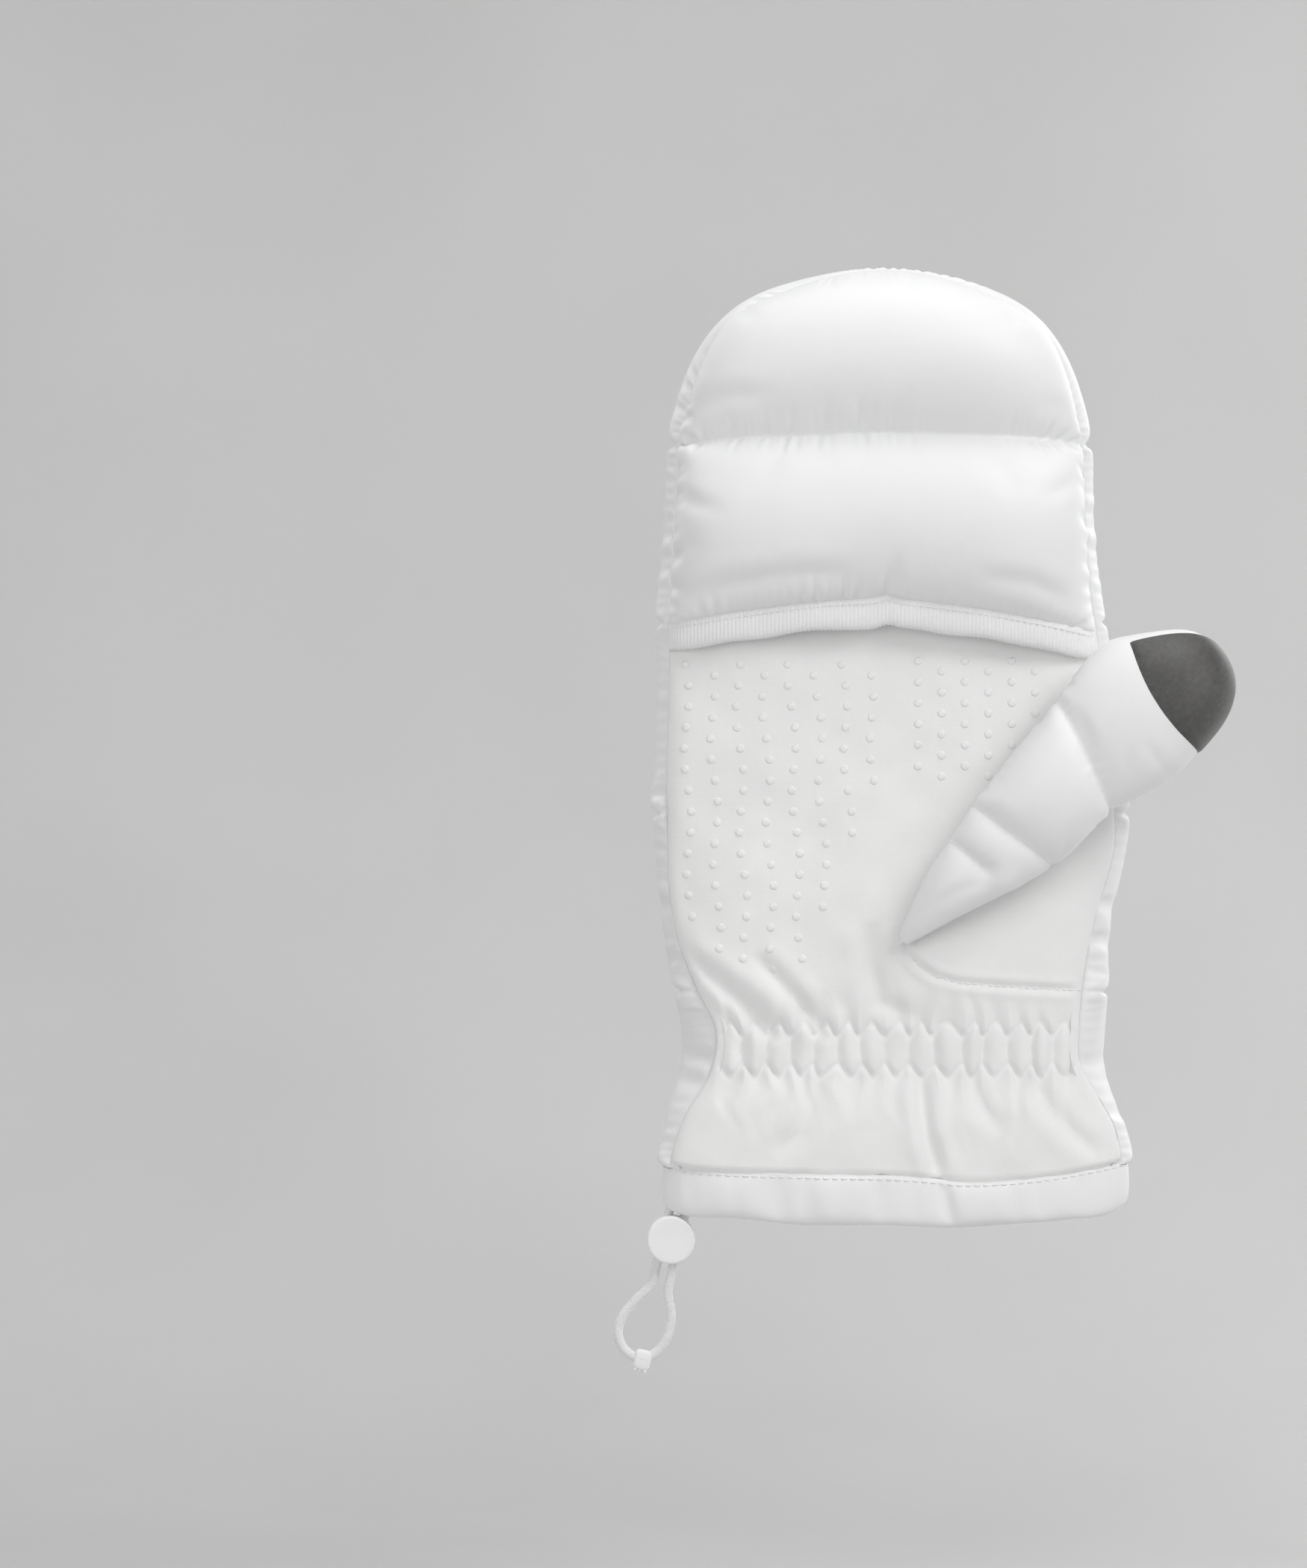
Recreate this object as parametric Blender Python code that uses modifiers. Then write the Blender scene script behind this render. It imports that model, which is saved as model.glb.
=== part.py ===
"""A right-hand convertible ski mitten: quilted back, fold-back finger cap, curved thumb, drawcord hem.

Row frame, in metres: the origin is the middle of the cuff opening, +Z runs to the fingertips,
-Y faces out of the palm and +X points to the thumb side. Lengths below are in millimetres.
"""

import math

import bmesh
import bpy
import numpy as np
from mathutils import Matrix, Vector

MM = 0.001

# Driving dimensions
TIP_Z = 281.0            # top of the finger cap
DOME_Z = 227.0           # where the rounded fingertip dome starts, which is also the tip seam
FOLD_Z = 175.0           # seam of the back that the cap folds at
SEAMS_BACK = (17.3, 68.0, 120.0, FOLD_Z)   # stitched lines across the back, hem to fold
HEM_TOP = 17.0
PALM_TOP = 183.5         # free top edge of the palm, tucked inside the cap
ELASTIC_Z = (45.0, 57.0)
GAP = 0.3                # clearance that touching pieces keep
SEAM_GAP = 0.25          # half the clearance between back and palm at the side seam
SQUARE = 2.5             # superellipse power of every cross section
DOME_SQUARE = 2.15       # superellipse power of the fingertip outline
ARC_STEPS = 12           # facets across half a cross section

# Side outline: (height, distance) of each side edge below the dome
LEFT_EDGE = ((0, -65.5), (5, -67.3), (18, -68.0), (32, -66.0), (45, -61.8), (54, -61.0), (68, -63.0),
             (81, -66.4), (99, -68.8), (120, -69.5), (166, -68.6), (184, -68.4), (201, -67.0), (227, -65.0))
RIGHT_EDGE = ((0, 65.5), (7, 67.4), (18, 68.0), (26, 67.0), (45, 60.5), (57, 60.5), (75, 61.0),
              (90, 63.0), (110, 67.0), (121, 66.8), (145, 64.5), (171, 61.7), (200, 58.7), (227, 57.0))

# Thickness of the layers and of the hollow
SHELL = 0.8
PALM_SHELL = 1.2
LINING = 1.0
SIDE_WALL = 14.0         # silhouette to the hollow, along X
PALM_INSET = 3.0         # the palm is this much narrower than the back on each side
BACK_SEAM = 15.0         # depth of the back at a stitched line
BACK_LOFT = 24.0         # and in the middle of a baffle
BACK_HOLLOW = 9.0        # depth of the hollow towards the back
PALM_WALL = 5.0          # palm, all layers
PALM_TUCK = 7.0          # the palm narrows this much inside the cap
PALM_DEPTH = ((17, 12.5), (30, 12.5), (51, 11.5), (70, 12.5), (110, 13.0), (160, 12.8), (184, 11.2))
CAP_PALM_DEPTH = ((166, 18.0), (176, 18.5), (200, 26.0), (222, 20.0), (227, 17.5), (232, 20.0), (247, 22.0))
CAP_HOLLOW = ((160, 14.2), (200, 14.2), (230, 10.0), (281, 10.0))
CAP_SIDE = ((160, 10.0), (188, 10.0), (210, 14.0), (281, 14.0))
CAP_TIP_WALL = 14.0      # cap tip, outside to hollow
CAP_EDGE = 176.0         # lower end of the cap's palm shell, above the binding
CAP_LINING_LOW = 186.0
BINDING_Z = (166.3, 174.5)
BINDING_ARCH = 7.0       # rise of the binding in the middle of the palm
BINDING_WALL = 2.0

# Hinge of the cap: it lies in the outer plane of the back, so that the cap folds flat
HINGE_Y = 20.0

# Thumb: points of its middle line in X and Z, and its form along that line
THUMB_LINE = ((1.7, 81.2), (12.0, 93.2), (23.0, 103.5), (34.1, 113.1), (55.7, 136.2), (76.8, 154.3), (95.0, 163.5))
THUMB_FORM = ((0.0, 0.0, 0.0), (15.5, 6.3, 4.5), (31.0, 10.3, 7.5), (45.5, 14.7, 9.5), (62.0, 16.8, 11.5),
              (77.0, 18.2, 12.0), (91.0, 19.3, 12.0), (105.0, 20.0, 12.0), (115.0, 17.8, 10.8), (121.5, 12.5, 7.6), (125.0, 0.0, 0.0))
THUMB_BACK = 13.6        # the thumb lies this far in front of the side seam plane
THUMB_SHELL_IN, THUMB_FILL_IN, THUMB_LINING_IN = 0.8, 4.9, 6.2
THUMB_HOLE = (36.0, 114.8)
THUMB_HOLE_RADIUS = 8.5
THUMB_FOLD = 60.0        # the thumb lifts from here on along its middle line
THUMB_STEPS = 16
THUMB_DOME = 7           # the form's rounded tip starts at this row
PATCH_FROM = 105.0       # the touch patch starts this far along the thumb
PATCH_STEPS = range(1, 10)

# Hem, drawcord and cord lock
HEM_BACK, HEM_PALM = 14.0, 12.5
HEM_WALL = 1.2
HEM_CHANNEL = 3.4
HEM_STEPS = 48
HEM_LIFT = 3.0           # the hem's lower edge rises this much at its two ends
CORD = 2.8
CORD_TILT = math.radians(13)
LOCK_CENTRE = (-65.6, -4.6)
LOCK_RADIUS = 7.0
LOCK_Y = (-6.0, 4.2)
STRAND = 2.4             # each strand's distance from the lock's middle
BUTTON_RADIUS = 5.3
BUTTON_Y = (-2.6, 6.2)
BUTTON_TRAVEL = 1.5
LOCK_TRAVEL = 7.0

COLOURS = {
    "shell_fabric": (0.86, 0.86, 0.87, 0.55),
    "palm_softshell": (0.88, 0.88, 0.88, 0.7),
    "fill_down": (0.9, 0.9, 0.88, 0.95),
    "lining_fleece": (0.8, 0.8, 0.8, 0.95),
    "touch_patch": (0.035, 0.035, 0.037, 0.45),
    "elastic_band": (0.82, 0.82, 0.82, 0.8),
    "drawcord": (0.84, 0.84, 0.84, 0.6),
    "lock_plastic": (0.87, 0.87, 0.87, 0.35),
    "spring_steel": (0.6, 0.6, 0.62, 0.3),
}


def clear_scene():
    for obj in list(bpy.data.objects):
        bpy.data.objects.remove(obj, do_unlink=True)


def new_collection(name):
    collection = bpy.data.collections.new(name)
    bpy.context.scene.collection.children.link(collection)
    return collection


def material(slot):
    found = bpy.data.materials.get(slot)
    if found:
        return found
    made = bpy.data.materials.new(slot)
    made.use_nodes = True
    red, green, blue, roughness = COLOURS[slot]
    shader = made.node_tree.nodes["Principled BSDF"]
    shader.inputs["Base Color"].default_value = (red, green, blue, 1)
    shader.inputs["Roughness"].default_value = roughness
    shader.inputs["Metallic"].default_value = 1.0 if slot == "spring_steel" else 0.0
    return made


def add_mesh(name, points, faces, slot):
    """An object from points in millimetres, with coinciding points joined and the faces turned outwards."""
    mesh = bpy.data.meshes.new(name)
    obj = bpy.data.objects.new(name, mesh)
    shape = bmesh.new()
    corners = [shape.verts.new(Vector(p) * MM) for p in points]
    for face in faces:
        shape.faces.new([corners[i] for i in face])
    bmesh.ops.remove_doubles(shape, verts=shape.verts, dist=0.00001)
    bmesh.ops.dissolve_degenerate(shape, edges=shape.edges, dist=0.00001)
    bmesh.ops.recalc_face_normals(shape, faces=shape.faces)
    shape.to_mesh(mesh)
    shape.free()
    mesh.shade_smooth()
    mesh.set_sharp_from_angle(angle=math.radians(40))
    if slot:
        mesh.materials.append(material(slot))
        PART.objects.link(obj)
    else:
        obj.hide_render = True
        obj.display_type = "WIRE"
        CUTTERS.objects.link(obj)
    return obj


def smooth(table, at):
    """Hermite interpolation through a table of (place, value) pairs."""
    places, values = (np.array(column, float) for column in zip(*table))
    slopes = np.gradient(values, places)
    at = min(max(at, places[0]), places[-1])
    i = min(max(int(np.searchsorted(places, at)) - 1, 0), len(places) - 2)
    step = places[i + 1] - places[i]
    t = (at - places[i]) / step
    return float((2 * t**3 - 3 * t**2 + 1) * values[i] + (t**3 - 2 * t**2 + t) * step * slopes[i]
                 + (3 * t**2 - 2 * t**3) * values[i + 1] + (t**3 - t**2) * step * slopes[i + 1])


def middle_x(z):
    return (smooth(LEFT_EDGE, z) + smooth(RIGHT_EDGE, z)) / 2


def half_width(z):
    return (smooth(RIGHT_EDGE, z) - smooth(LEFT_EDGE, z)) / 2


def dome(z, top=TIP_Z):
    """1 below the fingertip dome, falling to 0 at its top."""
    share = min(max((z - DOME_Z) / (top - DOME_Z), 0), 1)
    return (1 - share**DOME_SQUARE) ** (1 / DOME_SQUARE)


def baffle_depth(z, low, high, seam, loft):
    """Depth of a quilted baffle between two stitched lines."""
    share = min(max((z - low) / (high - low), 0), 1)
    return seam + (loft - seam) * math.sin(math.pi * share) ** 0.6


def section_point(level, side, angle):
    """A point of half a cross section; side is 1 at the back and -1 at the palm.

    A level is (height, half width, depth, arch); arch lifts the middle of the section.
    """
    z, wide, deep, arch = level
    across, out = math.cos(angle), max(math.sin(angle), 0.0)
    x = wide * math.copysign(abs(across) ** (2 / SQUARE), across)
    y = SEAM_GAP + deep * out ** (2 / SQUARE)
    return (middle_x(z) + x, side * y, z + arch * out**2)


def inset(levels, by):
    """The levels moved inwards, and a closed top lowered as much."""
    top, closed = levels[-1][0], levels[-1][1] == 0
    moved = []
    for z, wide, deep, arch in levels:
        if closed and z > DOME_Z:
            z -= by * (z - DOME_Z) / (top - DOME_Z)
        moved.append((z, max(wide - by, 0), max(deep - by, 0), arch))
    return moved


def between(levels, low, high=None):
    """The part of the levels from low to high, or to their top."""
    columns = list(zip(*levels))
    high = levels[-1][0] if high is None else high
    heights = [low] + [z for z in columns[0] if low + 0.2 < z < high - 0.2] + [high]
    return [tuple(float(np.interp(z, columns[0], column)) for column in columns) for z in heights]


def skin(start, rows, size, wrap, flip_from=None):
    """Triangles over rows of points. The diagonals run alike in every skin, so that nested skins stay parallel."""
    faces = []
    for row in range(rows - 1):
        for k in range(size if wrap else size - 1):
            a, b = start + row * size + k, start + row * size + (k + 1) % size
            c, d = b + size, a + size
            if flip_from is not None and k >= flip_from:
                faces += [(a, b, d), (b, c, d)]
            else:
                faces += [(a, b, c), (a, c, d)]
    return faces


def seam_strip(first, second):
    """Quads that join two equally long rows of point numbers."""
    return [(a, b, d, c) for a, b, c, d in zip(first, first[1:], second, second[1:])]


def open_faces(rows, size, closed=False):
    """Faces of a bent sheet: an outer and an inner skin, joined round the edge unless the last row is a point."""
    faces = skin(0, rows, size, False) + skin(rows * size, rows, size, False)
    numbers = np.arange(2 * rows * size).reshape(2, rows, size)
    edges = [numbers[:, 0, :], numbers[:, :, 0], numbers[:, :, -1]]
    if not closed:
        edges.append(numbers[:, -1, :])
    for first, second in edges:
        faces += seam_strip(list(map(int, first)), list(map(int, second)))
    return faces


def half_wall(name, outer, inner, side, slot):
    """A wall over the back or the palm, between two lists of levels."""
    angles = [math.pi * k / ARC_STEPS for k in range(ARC_STEPS + 1)]
    points = [section_point(level, side, a) for level in outer + inner for a in angles]
    return add_mesh(name, points, open_faces(len(outer), len(angles), outer[-1][1] == 0), slot)


def sleeve(name, back, palm, by, slot):
    """A tube of fabric all round, just inside two lists of levels that have the same heights."""
    points = []
    for inward in (0.0, by):
        for (z, wide, deep, _), (_, _, palm_deep, _) in zip(inset(back, inward), inset(palm, inward)):
            for k in range(2 * ARC_STEPS):
                angle = math.pi * k / ARC_STEPS
                across, out = math.cos(angle), math.sin(angle)
                reach = deep if out > 0 else palm_deep
                points.append((middle_x(z) + wide * math.copysign(abs(across) ** (2 / SQUARE), across),
                               reach * math.copysign(abs(out) ** (2 / SQUARE), out), z))
    return add_mesh(name, points, tube_faces(len(back), len(back), 2 * ARC_STEPS, back[-1][1] == 0, ARC_STEPS), slot)


def tube_faces(rows, inner_rows, size, closed, flip_from=None):
    """Faces of a tube wall: an outer and an inner skin, joined at the first row and, if it is open, the last."""
    faces = skin(0, rows, size, True, flip_from) + skin(rows * size, inner_rows, size, True, flip_from)
    ends = [(0, rows)] if closed else [(0, rows), (rows - 1, rows + inner_rows - 1)]
    for outer_row, inner_row in ends:
        outer = [outer_row * size + k for k in range(size)]
        inner = [inner_row * size + k for k in range(size)]
        faces += seam_strip(outer + outer[:1], inner + inner[:1])
    return faces


def cut(obj, cutter, operation="DIFFERENCE"):
    modifier = obj.modifiers.new(cutter.name, "BOOLEAN")
    modifier.operation = operation
    modifier.object = cutter


def apply_modifiers(obj):
    """The object's evaluated mesh becomes its own mesh."""
    graph = bpy.context.evaluated_depsgraph_get()
    mesh = bpy.data.meshes.new_from_object(obj.evaluated_get(graph))
    obj.modifiers.clear()
    obj.data = mesh


def spread(low, high, count):
    return [low + (high - low) * k / (count - 1) for k in range(count)]


def prism(name, outline, y_from, y_to, slot=None):
    """An outline in X and Z, from one Y to another."""
    count = len(outline)
    points = [(x, y_from, z) for x, z in outline] + [(x, y_to, z) for x, z in outline]
    faces = [tuple(range(count)), tuple(range(2 * count - 1, count - 1, -1))]
    faces += [(k, (k + 1) % count, count + (k + 1) % count, count + k) for k in range(count)]
    return add_mesh(name, points, faces, slot)


def disc(name, centre, radius, y_from, y_to, steps=28):
    angles = [2 * math.pi * (k + 0.5) / steps for k in range(steps)]
    outline = [(centre[0] + radius * math.cos(a), centre[1] + radius * math.sin(a)) for a in angles]
    return prism(name, outline, y_from, y_to)


# The back of the hand: one woven shell over three down-filled baffles

def hand_heights():
    heights = []
    for low, high in zip(SEAMS_BACK, SEAMS_BACK[1:]):
        heights += spread(low, high, 6)[:-1]
    return heights + [FOLD_Z - GAP]


def back_depth(z):
    for low, high in zip(SEAMS_BACK, SEAMS_BACK[1:]):
        if z <= high:
            return baffle_depth(z, low, high, BACK_SEAM, BACK_LOFT)


def hollow_back(heights, grow):
    """Levels of the hollow on the back side of the hand, grown by some millimetres."""
    return [(z, half_width(z) - SIDE_WALL + grow, BACK_HOLLOW + grow, 0.0) for z in heights]


def hollow_palm(heights, grow):
    return [(z, half_width(z) - SIDE_WALL + grow, smooth(PALM_DEPTH, z) - PALM_WALL + grow, 0.0) for z in heights]


def make_back():
    outer = [(z, half_width(z), back_depth(z), 0.0) for z in hand_heights()]
    half_wall("back_shell", outer, inset(outer, SHELL), 1, "shell_fabric")
    inner = hollow_back(hand_heights(), LINING + GAP)
    for number, (low, high) in zip((5, 4, 3), zip(SEAMS_BACK, SEAMS_BACK[1:])):
        low, high = low + GAP, high - GAP - 0.2
        half_wall(f"back_fill_{number}", between(inset(outer, SHELL + GAP), low, high),
                  between(inner, low, high), 1, "fill_down")


# The palm: softshell panel, thumb gusset, insulation and gathered wrist elastic

def palm_face(heights, below):
    """Levels of the palm, some millimetres below its outer face. It narrows where it enters the cap."""
    return [(z, half_width(z) - PALM_INSET - PALM_TUCK * min(max((z - 159) / 8, 0), 1) - below,
             smooth(PALM_DEPTH, z) - below, 0.0) for z in heights]


def make_palm():
    shared = [z for z in hand_heights() if HEM_TOP + 4 < z < FOLD_Z - 3]
    heights = [HEM_TOP + GAP] + shared + [FOLD_Z - 1, PALM_TOP]
    outer, inner = palm_face(heights, 0), palm_face(heights, PALM_SHELL)
    panel = half_wall("palm_panel", outer, inner, -1, "palm_softshell")
    gusset = half_wall("thumb_gusset", outer, inner, -1, "palm_softshell")
    cut(gusset, prism("gusset_outline", ((3, 80), (75, 124.9), (75, 69), (9, 71)), -30, 5), "INTERSECT")
    cut(panel, prism("gusset_room", ((2.4, 80.2), (76, 126), (76, 68.7), (8.7, 70.7)), -31, 6))
    face, hollow = palm_face(heights, PALM_SHELL + GAP), hollow_palm(heights, LINING + GAP)
    layers = (("gauntlet_insulation", HEM_TOP + 2 * GAP, ELASTIC_Z[0] - GAP, 0.0, "fill_down"),
              ("wrist_elastic", *ELASTIC_Z, 0.6, "elastic_band"),
              ("palm_insulation", ELASTIC_Z[1] + GAP, PALM_TOP - 1, 0.0, "fill_down"))
    for name, low, high, thinner, slot in layers:
        inside = [(z, wide + thinner, deep + thinner, arch) for z, wide, deep, arch in between(hollow, low, high)]
        layer = half_wall(name, between(face, low, high), inside, -1, slot)
    heights = [HEM_TOP + 2] + shared + [FOLD_Z - 1]
    lining = sleeve("hand_lining", hollow_back(heights, LINING), hollow_palm(heights, LINING), LINING, "lining_fleece")
    hole = disc("thumb_way", THUMB_HOLE, THUMB_HOLE_RADIUS, -30, -3.5)
    for obj in (panel, gusset, layer, lining):
        cut(obj, hole)


# The cap: two baffles on the back, two on the palm, a bound edge and its own lining

def dome_heights(top):
    return [DOME_Z + (top - DOME_Z) * math.sin(math.pi / 2 * k / 6) for k in range(1, 7)]


def cap_levels(low, depth_of, side_wall=None, top=TIP_Z, grow=0.0):
    """Levels from low to the fingertips. depth_of gives the depth at a height; arch fades out upwards."""
    levels = []
    for z in spread(low, DOME_Z, 7) + dome_heights(top):
        size = dome(z, top)
        wall = float(np.interp(z, *zip(*side_wall))) if side_wall else 0.0
        add = grow if size > 0.001 else 0.0
        levels.append((z, (half_width(z) - wall) * size + add, depth_of(z) * size + add, 0.0))
    levels[-1] = (levels[-1][0], 0.0, 0.0, 0.0)
    return levels


def arched(levels):
    """The levels with their lower edge lifted in the middle, fading out upwards."""
    return [(z, wide, deep, BINDING_ARCH * min(max(1 - (z - CAP_EDGE) / 30, 0), 1)) for z, wide, deep, _ in levels]


def cap_back_depth(z):
    if z <= DOME_Z:
        return baffle_depth(z, FOLD_Z, DOME_Z, BACK_SEAM, BACK_LOFT)
    return BACK_SEAM + (BACK_LOFT - 1 - BACK_SEAM) * min((z - DOME_Z) / 14, 1) ** 0.6


def make_cap():
    low = FOLD_Z + GAP + 0.2
    top = TIP_Z - CAP_TIP_WALL
    flat = ((160, SIDE_WALL), (281, SIDE_WALL))
    sides = ((1, "back", arch_none, cap_levels(low, cap_back_depth),
              cap_levels(low, lambda z: BACK_HOLLOW, flat, top + LINING + GAP, LINING + GAP)),
             (-1, "palm", arched, cap_levels(CAP_EDGE, lambda z: smooth(CAP_PALM_DEPTH, z)),
              cap_levels(CAP_EDGE, lambda z: smooth(CAP_HOLLOW, z), CAP_SIDE, top + LINING + GAP, LINING + GAP)))
    for side, word, shape, outer, inner in sides:
        outer, inner = shape(outer), shape(inner)
        half_wall(f"cap_{word}_shell", outer, inset(outer, SHELL), side, "shell_fabric")
        face = inset(outer, SHELL + GAP)
        start = outer[0][0] + GAP
        half_wall(f"cap_{word}_fill_2", between(face, start, DOME_Z - GAP), between(inner, start, DOME_Z - GAP),
                  side, "fill_down")
        half_wall(f"cap_{word}_fill_1", between(face, DOME_Z + GAP), between(inner, DOME_Z + GAP), side, "fill_down")

    bound = [(z, half_width(z) - 0.5, smooth(CAP_PALM_DEPTH, z), BINDING_ARCH) for z in spread(*BINDING_Z, 3)]
    half_wall("cap_binding", bound, inset(bound, BINDING_WALL), -1, "shell_fabric")

    back = cap_levels(low, lambda z: BACK_HOLLOW, flat, top + LINING, LINING)
    palm = cap_levels(low, lambda z: smooth(CAP_HOLLOW, z), flat, top + LINING, LINING)
    sleeve("cap_lining", between(back, CAP_LINING_LOW), between(palm, CAP_LINING_LOW), LINING, "lining_fleece")


def arch_none(levels):
    return levels


# The thumb: shell, insulation and lining are nested cups on one curved middle line

def thumb_centre(at):
    """The middle line's X, Z and direction, some way along it."""
    steps = [0.0]
    for (x0, z0), (x1, z1) in zip(THUMB_LINE, THUMB_LINE[1:]):
        steps.append(steps[-1] + math.hypot(x1 - x0, z1 - z0))
    xs = list(zip(steps, (x for x, _ in THUMB_LINE)))
    zs = list(zip(steps, (z for _, z in THUMB_LINE)))
    ahead, behind = min(at + 0.5, steps[-1]), max(at - 0.5, 0.0)
    along = Vector((smooth(xs, ahead) - smooth(xs, behind), smooth(zs, ahead) - smooth(zs, behind))).normalized()
    return smooth(xs, at), smooth(zs, at), along


def thumb_ring(station, angles):
    at, wide, deep, y = station
    x, z, along = thumb_centre(at)
    return [(x - along.y * wide * math.cos(a), y - deep * math.sin(a), z + along.x * wide * math.cos(a)) for a in angles]


def thumb_stations(by):
    """Stations (place, half width, half depth, centre in Y) of the thumb's form, moved inwards."""
    dome_at, dome_wide, dome_deep = THUMB_FORM[THUMB_DOME]
    stations = []
    for number, (at, wide, deep) in enumerate(THUMB_FORM):
        y = -THUMB_BACK - deep
        if number > THUMB_DOME:
            at = dome_at + (at - dome_at) * (1 - by / (THUMB_FORM[-1][0] - dome_at))
            stations.append((at, wide * (1 - by / dome_wide), deep * (1 - by / dome_deep), min(y, -THUMB_BACK - 8)))
        elif deep > by + 1.5:
            stations.append((at, wide - by, deep - by, y))
    at, wide, _, y = stations[0]
    return [(at - 1.9 * wide, 0.0, 0.0, y)] + stations


def part_of_thumb(stations, low, high):
    """The stations between two places along the thumb, from its open end to its closed end."""
    columns = list(zip(*stations))
    places = [at for at in columns[0] if low < at < high]
    places = [low] + places if low > 0 else places
    places = places + [high] if high < THUMB_FORM[-1][0] else places
    part = [tuple(float(np.interp(at, columns[0], column)) for column in columns) for at in places]
    return part[::-1] if low == 0 else part


def make_thumb():
    mouth = disc("thumb_mouth", THUMB_HOLE, THUMB_HOLE_RADIUS, -22.0, -3)
    angles = [2 * math.pi * k / THUMB_STEPS for k in range(THUMB_STEPS)]
    layers = (("shell", 0.0, THUMB_SHELL_IN, "shell_fabric"),
              ("fill", THUMB_SHELL_IN + GAP, THUMB_FILL_IN, "fill_down"),
              ("lining", THUMB_FILL_IN + GAP, THUMB_LINING_IN, "lining_fleece"))
    pieces = (("thumb_base", 0, THUMB_FOLD - GAP), ("thumb", THUMB_FOLD + GAP, 200))
    for layer, outside, inside, slot in layers:
        for word, low, high in pieces:
            outer, inner = (part_of_thumb(thumb_stations(by), low, high) for by in (outside, inside))
            points = [p for station in outer + inner for p in thumb_ring(station, angles)]
            wall = add_mesh(f"{word}_{layer}", points, tube_faces(len(outer), len(inner), THUMB_STEPS, True), slot)
            if low == 0:
                cut(wall, mouth)
    make_patch()


def make_patch():
    """The touch patch covers the thumb's tip and palm face, and leaves the side with the seam free."""
    angles = [2 * math.pi * k / THUMB_STEPS for k in PATCH_STEPS]
    covered = [station for station in thumb_stations(0.0) if PATCH_FROM <= station[0] and station[1] > 0]
    points = []
    for grow in (GAP + SHELL, GAP):
        for at, wide, deep, y in covered:
            points += thumb_ring((at, wide + grow, deep + grow, y), angles)
    rows, size = len(covered), len(angles)
    add_mesh("thumb_touch_patch", points, open_faces(rows, size), "touch_patch")


# The hem: a folded channel round the cuff, the drawcord in it, its free loop and the cord lock

def hem_point(angle, inward, z):
    """A point of the hem at an angle round the cuff, some way in from its outer face."""
    across, out = math.cos(angle), math.sin(angle)
    wide = half_width(max(z, 4)) - inward
    deep = (HEM_BACK if out > 0 else HEM_PALM) - inward
    lift = HEM_LIFT * across**6 * (1 - z / HEM_TOP)
    return (middle_x(z) + wide * math.copysign(abs(across) ** (2 / SQUARE), across),
            deep * math.copysign(abs(out) ** (2 / SQUARE), out), z + lift)


def make_hem():
    far = HEM_WALL + HEM_CHANNEL
    thick = far + HEM_WALL
    profile = ((0, HEM_TOP - GAP), (0, 1.2), (1.0, 0), (thick - 1.0, 0), (thick, 1.2), (thick, HEM_TOP - GAP),
               (far, HEM_TOP - GAP), (far, 1.4), (HEM_WALL, 1.4), (HEM_WALL, HEM_TOP - GAP))
    around = [2 * math.pi * k / HEM_STEPS for k in range(HEM_STEPS)]
    rings = [[hem_point(angle, inward, z) for inward, z in profile] for angle in around]
    numbers = [list(range(k * len(profile), (k + 1) * len(profile))) for k in range(HEM_STEPS)]
    faces = []
    for first, second in zip(numbers, numbers[1:] + numbers[:1]):
        faces += seam_strip(first + first[:1], second + second[:1])
    hem = add_mesh("hem_channel", [p for ring in rings for p in ring], faces, "shell_fabric")
    exit_x = LOCK_CENTRE[0] + 2.0
    slot = prism("cord_exit", [(exit_x - 7.5, -2), (exit_x + 4.3, -2), (exit_x + 4.3, 7.5), (exit_x - 7.5, 7.5)], -2.0, 2.0)
    cut(hem, slot)
    # The cord lies at the bottom of the channel and ends on either side of the exit.
    cord_in = HEM_WALL + HEM_CHANNEL / 2
    left = HEM_STEPS // 2
    around = around[left + 2:] + around[:left - 1]
    add_tube("drawcord_in_hem", [hem_point(angle, cord_in, 3.4) for angle in around], CORD / 2 - 0.15, "drawcord", 2)


def add_tube(name, points, radius, slot, resolution):
    """A round cord along points in millimetres, as one closed mesh."""
    curve = bpy.data.curves.new(name, "CURVE")
    curve.dimensions = "3D"
    curve.bevel_depth = radius * MM
    curve.bevel_resolution = resolution
    curve.use_fill_caps = True
    spline = curve.splines.new("POLY")
    spline.points.add(len(points) - 1)
    for place, point in zip(spline.points, points):
        place.co = (*(Vector(point) * MM), 1)
    obj = bpy.data.objects.new(name, curve)
    if slot:
        curve.materials.append(material(slot))
        PART.objects.link(obj)
        return obj
    mesh = bpy.data.meshes.new_from_object(obj)
    welded = bmesh.new()
    welded.from_mesh(mesh)
    bmesh.ops.remove_doubles(welded, verts=welded.verts, dist=0.00001)
    bmesh.ops.recalc_face_normals(welded, faces=welded.faces)
    welded.to_mesh(mesh)
    welded.free()
    bpy.data.objects.remove(obj)
    cutter = bpy.data.objects.new(name, mesh)
    cutter.hide_render = True
    cutter.display_type = "WIRE"
    CUTTERS.objects.link(cutter)
    return cutter


def along_lock(distance, side):
    """X and Z of a strand at a distance below the lock's middle. side is -1 for the left strand."""
    down = (-math.sin(CORD_TILT), -math.cos(CORD_TILT))
    across = (math.cos(CORD_TILT), -math.sin(CORD_TILT))
    return (LOCK_CENTRE[0] + down[0] * distance + across[0] * side * STRAND,
            LOCK_CENTRE[1] + down[1] * distance + across[1] * side * STRAND)


# Points of the free loop in X and Z, below the straight stretch that the lock slides on
LOOP_POINTS = ((-75.2, -22.2), (-78.8, -27.0), (-80.0, -32.0), (-78.4, -37.0), (-74.0, -39.7),
               (-69.2, -37.2), (-66.4, -32.4), (-65.6, -27.0), (-66.4, -21.6))


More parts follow.
